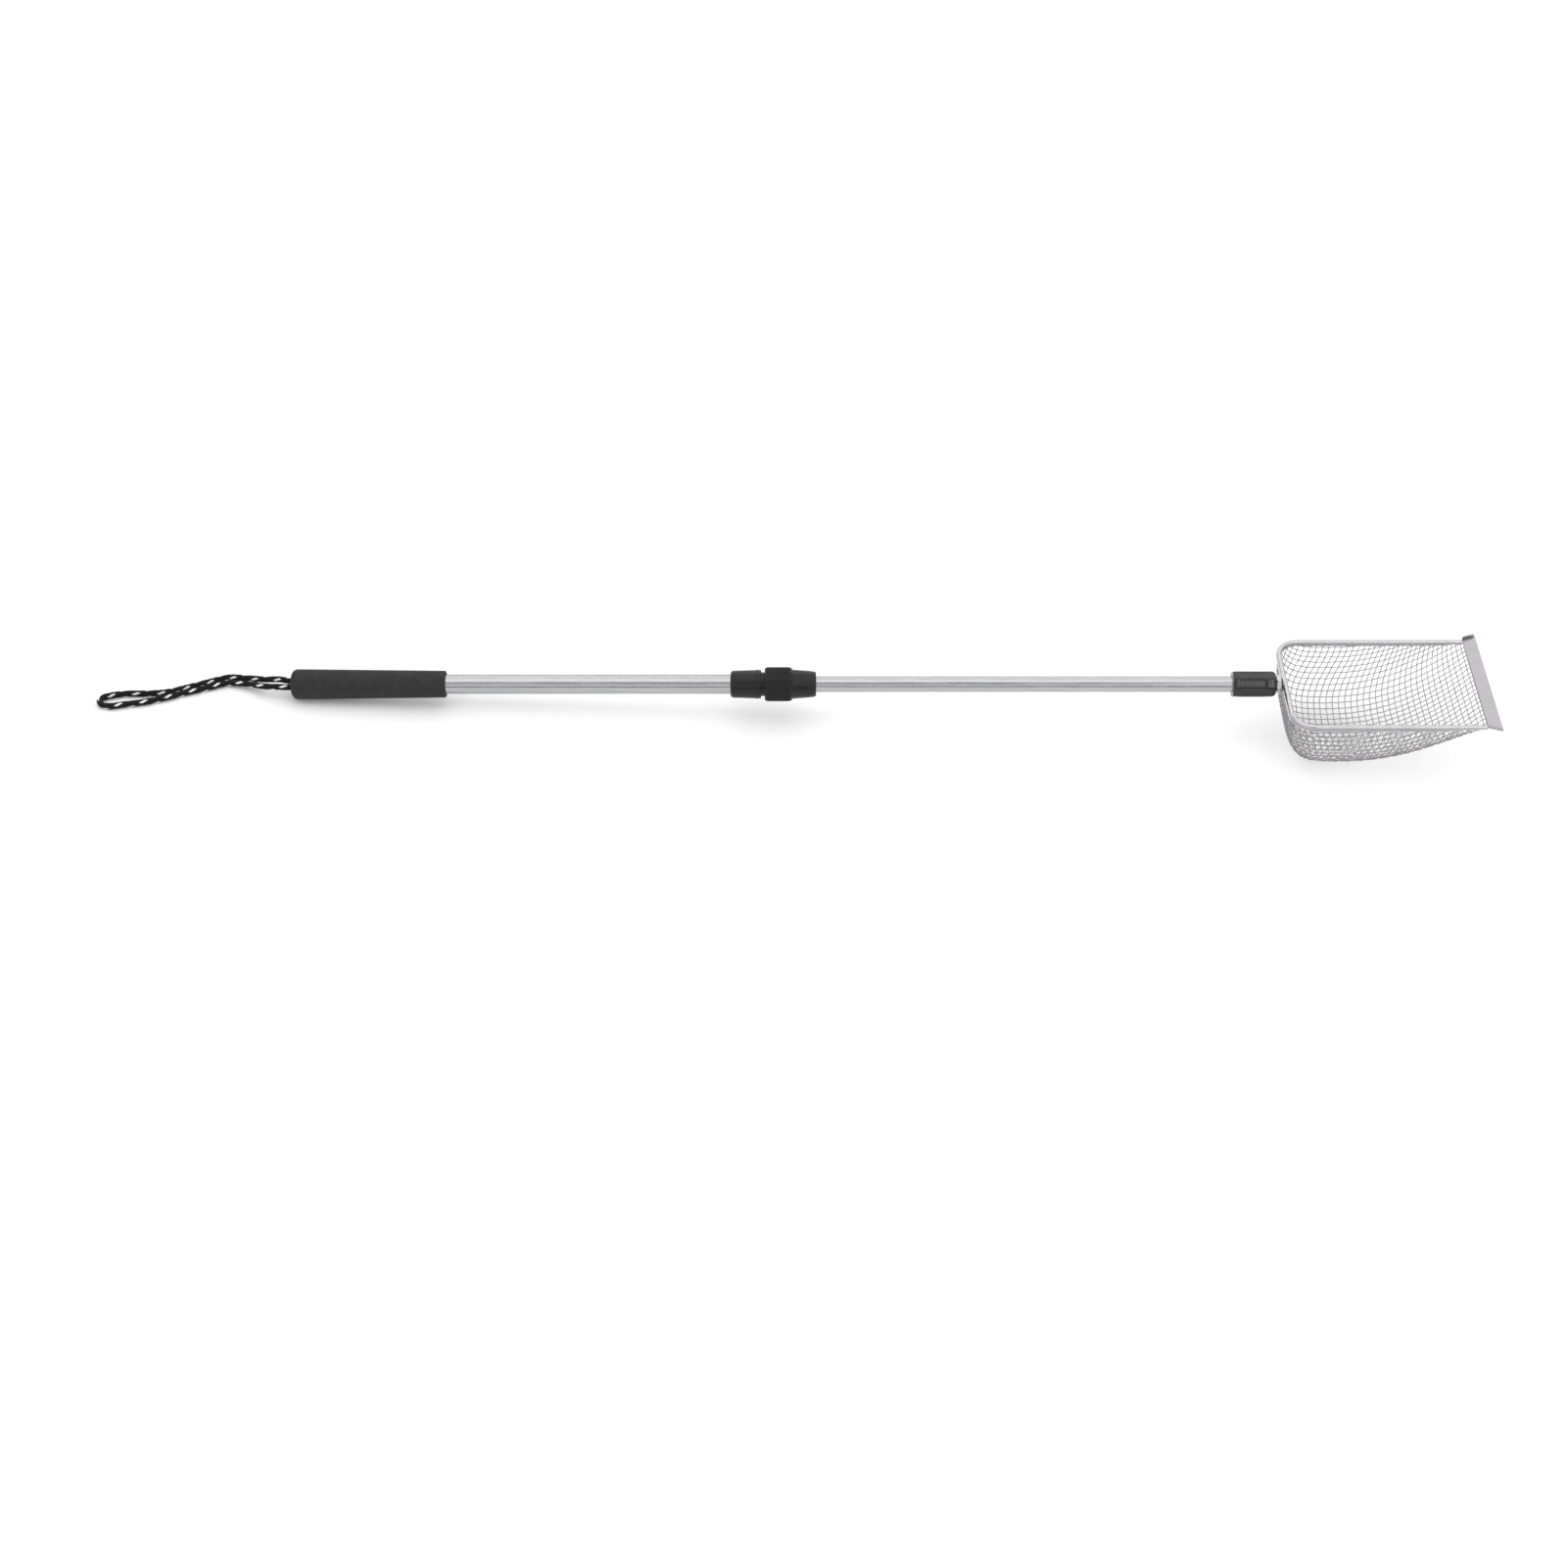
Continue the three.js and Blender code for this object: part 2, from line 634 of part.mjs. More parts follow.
// Flat strip spot-welded under the lip, with the mesh's front edge held between them.
function makeMeshStrip() {
  const top = MESH_TOP - MESH_THICKNESS / 2 - GAP;
  const width = 2 * (RIM_HALF_WIDTH - RIM_THICKNESS - 2);
  return new THREE.BoxGeometry(STRIP_DEPTH, width, STRIP_THICKNESS).translate(
    LIP_BACK + 0.8 + STRIP_DEPTH / 2,
    0,
    top - STRIP_THICKNESS / 2,
  );
}

// ---- Assembly ----
const rubber = plastic(0x3e3f40, 0.85);
const black = plastic(0x2c2b2b, 0.5);
const aluminium = steel(0xc9cbcc, 0.28);
const bright = steel(0xcac6c8, 0.18);

const handle = new THREE.Group();
handle.add(piece("grip", makeGrip(), rubber));
handle.add(piece("end_plug", makeEndPlug(), plastic(0x4a4a4a, 0.6)));
handle.add(piece("cord_knot", makeCordKnot(), plastic(0x1b1a1b, 0.9)));
handle.add(piece("outer_tube", makeOuterTube(), aluminium));
handle.add(piece("lock_body", makeLockBody(), black));
handle.add(piece("collet", makeCollet(), plastic(0xd8d8d4, 0.5)));

const lockNut = new THREE.Group();
lockNut.add(piece("thrust_ring", makeThrustRing(), plastic(0xd8d8d4, 0.5)));
lockNut.add(piece("lock_nut", makeLockNut(), black.clone()));
lockNut.add(piece("wiper_seal", makeWiperSeal(), plastic(0x222222, 0.9)));

const scoop = new THREE.Group();
scoop.add(piece("scoop_stud", makeScoopStud(), bright));
scoop.add(piece("jam_nut", makeJamNut(), bright.clone()));
scoop.add(piece("rim_channel", makeRimChannel(), bright.clone()));
scoop.add(piece("scoop_lip", makeScoopLip(), steel(0xc4c1c6, 0.35)));
scoop.add(piece("mesh_strip", makeMeshStrip(), bright.clone()));
scoop.add(piece("mesh_basket", makeMeshBasket(), steel(0xc2c0c3, 0.35)));

const extension = new THREE.Group();
extension.add(piece("guide_bush", makeGuideBush(), plastic(0xd8d8d4, 0.5)));
extension.add(piece("inner_tube", makeInnerTube(), aluminium.clone()));
extension.add(piece("end_cap", makeEndCap(), black.clone()));
extension.add(piece("threaded_insert", makeThreadedInsert(), steel(0xb59a5a, 0.4)));
extension.add(scoop);

const tool = new THREE.Group();
tool.add(handle, lockNut, extension);
tool.rotation.y = -REST_PITCH;
tool.updateMatrixWorld(true);

// Stand the tilted tool on the floor, with the middle of its box over the origin.
const box = new THREE.Box3().setFromObject(tool, true);
tool.position.set(-(box.min.x + box.max.x) / 2, -(box.min.y + box.max.y) / 2, -box.min.z);

const skimmer = new THREE.Group();
skimmer.name = "skimmer_scoop";
skimmer.add(tool);
skimmer.add(piece("wrist_cord", makeWristCord(), plastic(0x1b1a1b, 0.9)));

export default skimmer;
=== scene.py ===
import itertools
import json
import math

import bmesh
import bpy
from mathutils import Matrix, Vector


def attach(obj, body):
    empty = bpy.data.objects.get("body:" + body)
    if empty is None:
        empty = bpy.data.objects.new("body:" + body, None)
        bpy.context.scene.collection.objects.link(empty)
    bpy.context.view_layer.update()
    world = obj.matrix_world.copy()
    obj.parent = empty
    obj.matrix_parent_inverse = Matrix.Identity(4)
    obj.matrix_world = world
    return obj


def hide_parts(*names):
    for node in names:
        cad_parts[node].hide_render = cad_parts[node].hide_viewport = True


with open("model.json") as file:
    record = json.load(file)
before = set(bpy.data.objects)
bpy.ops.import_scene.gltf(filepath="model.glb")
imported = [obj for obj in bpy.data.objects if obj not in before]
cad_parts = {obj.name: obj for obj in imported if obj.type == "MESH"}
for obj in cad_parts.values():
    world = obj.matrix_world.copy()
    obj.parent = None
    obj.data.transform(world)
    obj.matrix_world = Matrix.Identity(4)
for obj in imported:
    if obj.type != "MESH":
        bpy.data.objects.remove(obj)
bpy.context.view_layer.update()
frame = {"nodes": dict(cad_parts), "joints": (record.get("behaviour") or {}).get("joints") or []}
scene = bpy.context.scene
MM = 0.001

# ---- Line of the pole ----
# Everything turned sits on the pole, which climbs gently from the butt of the grip to the basket.
# Stations run along it from the butt, and the lock turns on it at a known station.
LOCK_TURN_STATION = 397 * MM
lock_turn = next(j for j in frame["joints"] if j["name"] == "lock_turn")
pole_axis = Vector(lock_turn["axis"]).normalized()
pole_side = Vector((0, 1, 0))
pole_up = pole_axis.cross(pole_side)
butt = Vector(lock_turn["pos_m"]) - LOCK_TURN_STATION * pole_axis
pole = Matrix.Translation(butt) @ Matrix((pole_axis, pole_side, pole_up)).transposed().to_4x4()
pole_pitch = math.atan2(pole_axis.z, pole_axis.x)

# ---- Camera ----
# It looks squarely across the pole from in front and above, at about the middle of the tool.
CAMERA_STATION = 402 * MM
CAMERA_DISTANCE = 1548 * MM
CAMERA_HEIGHT = 1358 * MM
LOOKS_DOWN = math.radians(43.53)
camera = bpy.data.objects.new("camera", bpy.data.cameras.new("camera"))
scene.collection.objects.link(camera)
camera.data.sensor_width = 36
camera.data.lens = 57.8
camera.matrix_world = (
    pole
    @ Matrix.Translation((CAMERA_STATION, -CAMERA_DISTANCE, CAMERA_HEIGHT))
    @ Matrix.Rotation(math.pi / 2 - LOOKS_DOWN, 4, "X")
)
scene.camera = camera

# ---- Studio light ----
# A white room with a darker ceiling towards the camera and a dark skirting all round, large soft
# lights overhead and behind the tool, and a short narrow one in front of the cap. The metal takes
# its white and grey bands from them.
ROOM_LIGHT = 1.15
CEILING_LIGHT = 0.5
CEILING_WAY = (0, -0.588, 0.809)
CEILING_EDGE = 0.93  # cosine of the angle off the middle where the dark ceiling ends
CEILING_MIDDLE = 0.985  # the same, where it is darkest
SKIRTING_LIGHT = 0.2
SKIRTING_TOP = 0.3
BACK_LIGHT_WATTS = 6
TOP_LIGHT_WATTS = 6.5
FRONT_LIGHT_WATTS = 2
scene.view_settings.view_transform = "Standard"


def node(tree, kind, inputs=None, **settings):
    """A node with its settings, and with its inputs set to values or joined to other outputs."""
    made = tree.nodes.new(kind)
    for name, value in settings.items():
        setattr(made, name, value)
    for name, value in (inputs or {}).items():
        if isinstance(value, bpy.types.NodeSocket):
            tree.links.new(value, made.inputs[name])
        else:
            made.inputs[name].default_value = value
    return made


room = bpy.data.worlds.new("room")
room.use_nodes = True
room.node_tree.nodes.clear()
scene.world = room
way = node(room.node_tree, "ShaderNodeTexCoord").outputs["Generated"]
ceiling = node(
    room.node_tree, "ShaderNodeVectorMath", {0: way, 1: CEILING_WAY}, operation="DOT_PRODUCT"
)
ceiling_light = node(
    room.node_tree,
    "ShaderNodeMapRange",
    {
        "Value": ceiling.outputs["Value"],
        "From Min": CEILING_EDGE,
        "From Max": CEILING_MIDDLE,
        "To Min": ROOM_LIGHT,
        "To Max": CEILING_LIGHT,
    },
    interpolation_type="SMOOTHSTEP",
)
height_of_way = node(room.node_tree, "ShaderNodeSeparateXYZ", {"Vector": way}).outputs["Z"]
above_skirting = node(
    room.node_tree,
    "ShaderNodeMapRange",
    {
        "Value": height_of_way,
        "From Min": SKIRTING_TOP / 2,
        "From Max": SKIRTING_TOP,
        "To Min": SKIRTING_LIGHT,
        "To Max": 1.0,
    },
    interpolation_type="SMOOTHSTEP",
)
room_light = node(
    room.node_tree,
    "ShaderNodeMath",
    {0: ceiling_light.outputs["Result"], 1: above_skirting.outputs["Result"]},
    operation="MULTIPLY",
)
glow = node(
    room.node_tree,
    "ShaderNodeBackground",
    {"Color": (1, 1, 1, 1), "Strength": room_light.outputs["Value"]},
)
node(room.node_tree, "ShaderNodeOutputWorld", {"Surface": glow.outputs["Background"]})


def soft_light(name, place, aim, size, watts):
    """A rectangular light that shines from its place towards its aim."""
    lamp = bpy.data.lights.new(name, "AREA")
    lamp.shape = "RECTANGLE"
    lamp.size, lamp.size_y = size
    lamp.energy = watts
    light = bpy.data.objects.new(name, lamp)
    light.location = place
    light.rotation_euler = (Vector(aim) - Vector(place)).to_track_quat("-Z", "Y").to_euler()
    light.visible_camera = False
    scene.collection.objects.link(light)


soft_light("back_light", (0, 1.5, 1.05), (0, 0, 0.05), (3.2, 1.5), BACK_LIGHT_WATTS)
soft_light("top_light", (0.1, -0.05, 1.8), (0.1, -0.05, 0), (2.6, 1.4), TOP_LIGHT_WATTS)
soft_light("front_light", (0.85, -1.3, 1.52), (0.4, 0, 0.05), (0.6, 0.2), FRONT_LIGHT_WATTS)

# ---- Wrist cord ----
# A 5 mm braided cord, black with two white tracer strands, doubled into a loop. Both ends go
# through the slot in the butt of the grip and are tied in one knot behind the end plug. It drops
# from the butt to the floor and lies there.
CORD_RADIUS = 2.5 * MM
CORD_ROUTE = [
    (-471.9, 2.9, 12.79),
    (-484, 3.1, 12.12),
    (-491, 4.2, 11.7),
    (-500, 6.4, 10.9),
    (-511, 7.9, 8.8),
    (-526, 12.6, 5.2),
    (-543, 14.8, 3.1),
    (-557, 9, 2.8),
    (-574, 0.8, 2.8),
    (-590.5, -6.2, 2.8),
    (-606, -8.6, 2.8),
    (-621, -9.7, 2.8),
    (-633, -12.6, 2.8),
    (-639.2, -15.8, 2.8),
    (-641, -20.2, 2.8),
    (-638.2, -24.4, 2.8),
    (-632, -25.7, 2.8),
    (-621, -22.8, 2.8),
    (-606, -19.2, 2.8),
    (-590.5, -13, 2.8),
    (-574, -5.3, 2.8),
    (-557, 2, 2.8),
    (-543, 7.8, 3.1),
    (-526, 5.6, 5.2),
    (-511, -0.6, 8.8),
    (-500, -2.9, 10.9),
    (-491, -3.7, 11.7),
    (-484, -3.1, 12.12),
    (-471.9, -2.9, 12.79),
]
CORD_STEP = 0.5 * MM
CORD_SIDES = 64
STRANDS_EACH_WAY = 8
BRAID_TURN = 40 * MM  # length in which a strand goes once round the cord
BRAID_RELIEF = 0.28 * MM
BRAID_MIDDLE = 0.7  # height of the braid that lies at the cord's radius
TRACER_STRANDS = (0, 4)


def smooth_path(points, step):
    """Points about a step apart on the smooth curve through the given ones."""
    ends = [2 * points[0] - points[1], *points, 2 * points[-1] - points[-2]]
    path = []
    for a, b, c, d in zip(ends, ends[1:], ends[2:], ends[3:]):
        at_b = (b - a).length ** 0.5
        at_c = at_b + (c - b).length ** 0.5
        at_d = at_c + (d - c).length ** 0.5
        count = max(1, round((c - b).length / step))
        for k in range(count):
            t = at_b + (at_c - at_b) * k / count
            ab = a.lerp(b, t / at_b)
            bc = b.lerp(c, (t - at_b) / (at_c - at_b))
            cd = c.lerp(d, (t - at_c) / (at_d - at_c))
            abc = ab.lerp(bc, t / at_c)
            bcd = bc.lerp(cd, (t - at_b) / (at_d - at_b))
            path.append(abc.lerp(bcd, (t - at_b) / (at_c - at_b)))
    return [*path, points[-1]]


def braid(turn, distance):
    """Height 0..1 of the braid at a place on the cord, and whether a tracer strand shows there."""
    one_way = STRANDS_EACH_WAY * (turn + distance / BRAID_TURN)
    other_way = STRANDS_EACH_WAY * (turn - distance / BRAID_TURN)
    first_on_top = (math.floor(one_way) + math.floor(other_way)) % 4 < 2
    strand, travel = (one_way, other_way) if first_on_top else (other_way, one_way)
    start = -math.floor(strand) if first_on_top else 2 - math.floor(strand)
    crest = math.sin(math.pi * (strand % 1)) ** 0.6
    arch = math.sin(math.pi * (((travel - start) % 4) / 2 % 1)) ** 0.5
    tracer = first_on_top and math.floor(strand) % STRANDS_EACH_WAY in TRACER_STRANDS
    return crest * (0.55 + 0.45 * arch), float(tracer)


def cord_mesh(path):
    """The braided cord as rings of points about its path, closed at both ends."""
    bm = bmesh.new()
    height_layer = bm.verts.layers.float.new("crest")
    tracer_layer = bm.verts.layers.float.new("tracer")
    side = Vector((0, 0, 1))
    distance = 0
    rings = []
    for i, place in enumerate(path):
        ahead = (path[min(i + 1, len(path) - 1)] - path[max(i - 1, 0)]).normalized()
        side = (side - side.dot(ahead) * ahead).normalized()
        across = ahead.cross(side)
        distance += (place - path[max(i - 1, 0)]).length
        ring = []
        for k in range(CORD_SIDES):
            turn = k / CORD_SIDES
            height, tracer = braid(turn, distance)
            radius = CORD_RADIUS - BRAID_RELIEF * (BRAID_MIDDLE - height)
            angle = 2 * math.pi * turn
            vert = bm.verts.new(
                place + radius * (math.cos(angle) * side + math.sin(angle) * across)
            )
            vert[height_layer] = height
            vert[tracer_layer] = tracer
            ring.append(vert)
        rings.append(ring)
    for a, b in zip(rings, rings[1:]):
        for k in range(CORD_SIDES):
            bm.faces.new((a[k], a[k - 1], b[k - 1], b[k]))
    bm.faces.new(rings[0])
    bm.faces.new(rings[-1])
    return finished_mesh(bm, "wrist_cord")


def finished_mesh(bm, name, crease=40):
    """The mesh with its faces turned outwards, smooth but for edges sharper than the crease."""
    bmesh.ops.recalc_face_normals(bm, faces=bm.faces)
    mesh = bpy.data.meshes.new(name)
    bm.to_mesh(mesh)
    bm.free()
    mesh.shade_smooth()
    mesh.set_sharp_from_angle(angle=math.radians(crease))
    return mesh


def new_material(name, colour, metallic, roughness):
    """A material with its plain values set, and the nodes that the details are joined to."""
    material = bpy.data.materials.new(name)
    material.use_nodes = True
    tree = material.node_tree
    shader = tree.nodes["Principled BSDF"]
    shader.inputs["Base Color"].default_value = (*colour, 1)
    shader.inputs["Metallic"].default_value = metallic
    shader.inputs["Roughness"].default_value = roughness
    return material, tree, shader


def place_piece(name, mesh, material, slot, body, *nodes):
    """The piece with its material, the body that it rides on and the CAD nodes it stands for."""
    if material:
        mesh.materials.clear()
        mesh.materials.append(material)
    made = bpy.data.objects.new(name, mesh)
    scene.collection.objects.link(made)
    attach(made, body)
    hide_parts(*nodes)
    return made


def blended(tree, factor, first, second):
    """Colour between two colours, each a plain colour or a node's output."""
    mix = node(tree, "ShaderNodeMix", data_type="RGBA")
    factor_in, first_in, second_in = mix.inputs[0], mix.inputs[6], mix.inputs[7]
    tree.links.new(factor, factor_in)
    for socket, value in ((first_in, first), (second_in, second)):
        if isinstance(value, bpy.types.NodeSocket):
            tree.links.new(value, socket)
        else:
            socket.default_value = (*value, 1)
    return mix.outputs[2]


def spread(tree, value, low, high, from_low=0.0, from_high=1.0):
    """The value moved from one range to another, and held inside it."""
    moved = node(
        tree,
        "ShaderNodeMapRange",
        {
            "Value": value,
            "From Min": from_low,
            "From Max": from_high,
            "To Min": low,
            "To Max": high,
        },
    )
    return moved.outputs["Result"]


def roughened(tree, shader, height, distance, strength=1.0):
    """A relief on the surface, as deep as the given distance."""
    bump = node(
        tree,
        "ShaderNodeBump",
        {"Height": height, "Distance": distance, "Strength": strength},
    )
    tree.links.new(bump.outputs["Normal"], shader.inputs["Normal"])


def grain(tree, size, detail=3, stretch=(1, 1, 1), rough=0.6):
    """Noise with grains of about the given size, in metres, lying along the pole."""
    place = node(tree, "ShaderNodeTexCoord").outputs["Object"]
    turned_place = node(
        tree,
        "ShaderNodeMapping",
        {"Vector": place, "Rotation": (0, pole_pitch, 0), "Scale": stretch},
    )
    noise = node(
        tree,
        "ShaderNodeTexNoise",
        {
            "Vector": turned_place.outputs["Vector"],
            "Scale": 1 / size,
            "Detail": detail,
            "Roughness": rough,
        },
    )
    return noise.outputs["Fac"]


def braid_material():
    material, tree, shader = new_material("cord_braid", (0.012, 0.011, 0.012), 0, 0.82)
    shader.inputs["Sheen Weight"].default_value = 0.05
    shader.inputs["Specular IOR Level"].default_value = 0.15
    tracer = node(tree, "ShaderNodeAttribute", attribute_name="tracer").outputs["Fac"]
    crest = node(tree, "ShaderNodeAttribute", attribute_name="crest").outputs["Fac"]
    fibres = grain(tree, 0.25 * MM, detail=2)
    black = blended(tree, fibres, (0.003, 0.003, 0.003), (0.016, 0.015, 0.016))
    white = blended(tree, fibres, (0.6, 0.6, 0.61), (0.95, 0.95, 0.95))
    # The low places between the strands are painted darker towards black: painted shade in the braid's
    # valleys.
    painted_valley_shade = spread(tree, crest, 0.45, 1.0, 0.1, 0.6)
    shown = blended(tree, spread(tree, tracer, 0, 1, 0.4, 0.6), black, white)
    colour = blended(tree, painted_valley_shade, (0.004, 0.004, 0.004), shown)
    tree.links.new(colour, shader.inputs["Base Color"])
    roughened(tree, shader, fibres, 0.08 * MM)
    return material


cord_path = smooth_path([Vector(p) * MM for p in CORD_ROUTE], CORD_STEP)
cord = place_piece(
    "wrist_cord_braid",
    cord_mesh(cord_path),
    braid_material(),
    "cord_braid",
    "handle",
    "wrist_cord",
)


def dress(material, *names):
    """Gives its finish to a CAD piece that stays as it is."""
    for name in names:
        mesh = frame["nodes"][name].data
        mesh.materials.clear()
        mesh.materials.append(material)


dress(bpy.data.materials["cord_braid"], "cord_knot")

# ---- Grip and end plug ----
# A closed sleeve of moulded rubber foam, pushed over the outer tube. Its butt is rounded and has
# the slot for the cord; a small moulded plug behind the slot closes the tube.
GRIP_LENGTH = 126 * MM
GRIP_BORE = 8.3 * MM
GRIP_BUTT_RADIUS = 12.25 * MM
GRIP_FRONT_RADIUS = 11 * MM
GRIP_EDGE_ROUND = 5 * MM
GRIP_FRONT_ROUND = 1.4 * MM
GRIP_END_WALL = 4 * MM
SLOT_HALF_LENGTH = 6.7 * MM
SLOT_HALF_WIDTH = 3 * MM
SLOT_EDGE = [(0.06 * MM, 0.5 * MM), (0.2 * MM, 0.15 * MM), (0.6 * MM, 0)]  # station and widening
FACETS = 96
PARTING_LINES = (33, 81)
PARTING_HEIGHT = 0.25 * MM
DIAMONDS_ROUND = 32
DIAMOND_LENGTH = 3.4 * MM


def circle(station, radius, facets=FACETS):
    """A ring of points across the pole."""
    turns = [2 * math.pi * k / facets for k in range(facets)]
    return [(station, radius * math.cos(a), radius * math.sin(a)) for a in turns]


def quarter(station, radius, rounding, start, stop, steps=8):
    """Station and radius of points on a rounded edge, about the given centre."""
    angles = [math.radians(start + (stop - start) * k / steps) for k in range(steps + 1)]
    return [(station + rounding * math.cos(a), radius + rounding * math.sin(a)) for a in angles]


def skin(name, rings, ends="joined", crease=40, at=pole):
    """A closed surface through rings of points. The last ring joins the first, as in a tube,
    or both ends are closed."""
    bm = bmesh.new()
    rows = [[bm.verts.new(at @ Vector(p)) for p in ring] for ring in rings]
    pairs = list(zip(rows, rows[1:]))
    if ends == "joined":
        pairs.append((rows[-1], rows[0]))
    else:
        bm.faces.new(rows[0])
        bm.faces.new(rows[-1])
    for a, b in pairs:
        for k in range(len(a)):
            bm.faces.new((a[k], a[k - 1], b[k - 1], b[k]))
    return finished_mesh(bm, name, crease)


def slot_ring(station, grow=0.0):
    """The outline of the cord slot, as many points as a circle, with a half-round at each end."""
    ring = []
    half_width = SLOT_HALF_WIDTH + grow
    straight = SLOT_HALF_LENGTH - SLOT_HALF_WIDTH
    for _, across, height in circle(station, 1):
        reach = half_width / max(abs(height), 1e-9)
        if abs(across) * reach > straight:
            reach = straight * abs(across) + math.sqrt(
                max(0, half_width**2 - (straight * height) ** 2)
            )
        ring.append((station, across * reach, height * reach))
    return ring


def grip_circle(station, radius):
    """A ring of the grip, with the moulds' parting line raised on two opposite sides."""
    ring = circle(station, radius)
    for line in PARTING_LINES:
        across, height = ring[line][1:]
        raised = 1 + PARTING_HEIGHT / radius
        ring[line] = (station, across * raised, height * raised)
    return ring


def grip_mesh():
    butt_centre = GRIP_BUTT_RADIUS - GRIP_EDGE_ROUND
    butt_edge = quarter(GRIP_EDGE_ROUND, butt_centre, GRIP_EDGE_ROUND, 90, 168, 12)
    front_edge = quarter(
        GRIP_LENGTH - GRIP_FRONT_ROUND, GRIP_FRONT_RADIUS - GRIP_FRONT_ROUND, GRIP_FRONT_ROUND, 0, 90, 6
    )
    rings = [circle(GRIP_LENGTH, GRIP_BORE)]
    rings += [grip_circle(x, r) for x, r in front_edge]
    rings += [grip_circle(x, r) for x, r in butt_edge]
    rings += [slot_ring(station, widening) for station, widening in SLOT_EDGE]
    rings += [slot_ring(GRIP_END_WALL), circle(GRIP_END_WALL, GRIP_BORE)]
    return skin("grip", rings)


def diamonds(tree):
    """Low diamonds all round the grip, where two sets of helical lines cross."""
    place = node(tree, "ShaderNodeTexCoord").outputs["Object"]
    centred = node(tree, "ShaderNodeVectorMath", {0: place, 1: butt}, operation="SUBTRACT")
    level = node(
        tree, "ShaderNodeMapping", {"Vector": centred.outputs[0], "Rotation": (0, pole_pitch, 0)}
    )
    split = node(tree, "ShaderNodeSeparateXYZ", {"Vector": level.outputs["Vector"]})
    angle = node(
        tree, "ShaderNodeMath", {0: split.outputs["Y"], 1: split.outputs["Z"]}, operation="ARCTAN2"
    )
    round_count = node(
        tree, "ShaderNodeMath", {0: angle.outputs[0], 1: DIAMONDS_ROUND / 2}, operation="MULTIPLY"
    )
    long_count = node(
        tree,
        "ShaderNodeMath",
        {0: split.outputs["X"], 1: math.pi / DIAMOND_LENGTH},
        operation="MULTIPLY",
    )
    waves = []
    for way in ("ADD", "SUBTRACT"):
        phase = node(
            tree,
            "ShaderNodeMath",
            {0: round_count.outputs[0], 1: long_count.outputs[0]},
            operation=way,
        )
        wave = node(tree, "ShaderNodeMath", {0: phase.outputs[0]}, operation="SINE")
        waves.append(node(tree, "ShaderNodeMath", {0: wave.outputs[0]}, operation="ABSOLUTE"))
    both = node(
        tree,
        "ShaderNodeMath",
        {0: waves[0].outputs[0], 1: waves[1].outputs[0]},
        operation="MINIMUM",
    )
    return spread(tree, both.outputs[0], 0, 1, 0.0, 0.45)


def foam_rubber():
    material, tree, shader = new_material("grip_rubber", (0.034, 0.034, 0.034), 0, 0.7)
    shader.inputs["Specular IOR Level"].default_value = 0.3
    cells = grain(tree, 0.7 * MM, detail=4, rough=0.7)
    patches = grain(tree, 9 * MM, detail=2)
    diamond = diamonds(tree)
    mottled = blended(tree, cells, (0.018, 0.018, 0.018), (0.034, 0.034, 0.034))
    # The grooves between the diamonds are painted darker: painted shade in the grooves.
    mottled_with_painted_groove_shade = blended(tree, diamond, (0.013, 0.013, 0.013), mottled)
    dusty = blended(tree, spread(tree, patches, 0, 0.3, 0.4, 0.7), mottled_with_painted_groove_shade, (0.05, 0.05, 0.05))
    tree.links.new(dusty, shader.inputs["Base Color"])
    tree.links.new(spread(tree, cells, 0.6, 0.85), shader.inputs["Roughness"])
    relief = node(
        tree,
        "ShaderNodeMath",
        {0: diamond, 1: spread(tree, cells, 0.8, 1.1)},
        operation="MULTIPLY",
    )
    roughened(tree, shader, relief.outputs[0], 0.22 * MM)
    return material


place_piece("rubber_grip", grip_mesh(), foam_rubber(), "grip_rubber", "handle", "grip")


def moulded_plastic(name, colour, roughness, texture=0.03 * MM, shine=0.45):
    """Injection-moulded plastic with a fine spark-eroded grain and faint cloudiness."""
    material, tree, shader = new_material(name, colour, 0, roughness)
    shader.inputs["Specular IOR Level"].default_value = shine
    fine = grain(tree, 0.35 * MM, detail=2)
    cloud = grain(tree, 6 * MM, detail=3)
    lighter = tuple(min(1, c * 1.5 + 0.004) for c in colour)
    darker = tuple(c * 0.75 for c in colour)
    tree.links.new(
        blended(tree, spread(tree, cloud, 0, 1, 0.3, 0.7), darker, lighter),
        shader.inputs["Base Color"],
    )
    tree.links.new(
        spread(tree, cloud, roughness * 0.85, min(1, roughness * 1.15), 0.3, 0.7),
        shader.inputs["Roughness"],
    )
    roughened(tree, shader, fine, texture)
    return material


black_plastic = moulded_plastic("black_plastic", (0.018, 0.018, 0.018), 0.42)
dress(black_plastic, "end_plug")

# ---- Outer tube ----
# A 16 mm drawn aluminium tube with a 1 mm wall, clear anodised. Its rear end sits in the grip and
# its front end in the lock body. The drawing die leaves faint lines along it.
OUTER_TUBE_START = 4.3 * MM
OUTER_TUBE_END = 371.5 * MM
OUTER_TUBE_RADIUS = 8 * MM
OUTER_TUBE_WALL = 1 * MM


def tube_mesh(name, start, end, radius, wall):
    bore = radius - wall
    rings = [circle(start, bore), circle(start, radius), circle(end, radius), circle(end, bore)]
    return skin(name, rings)


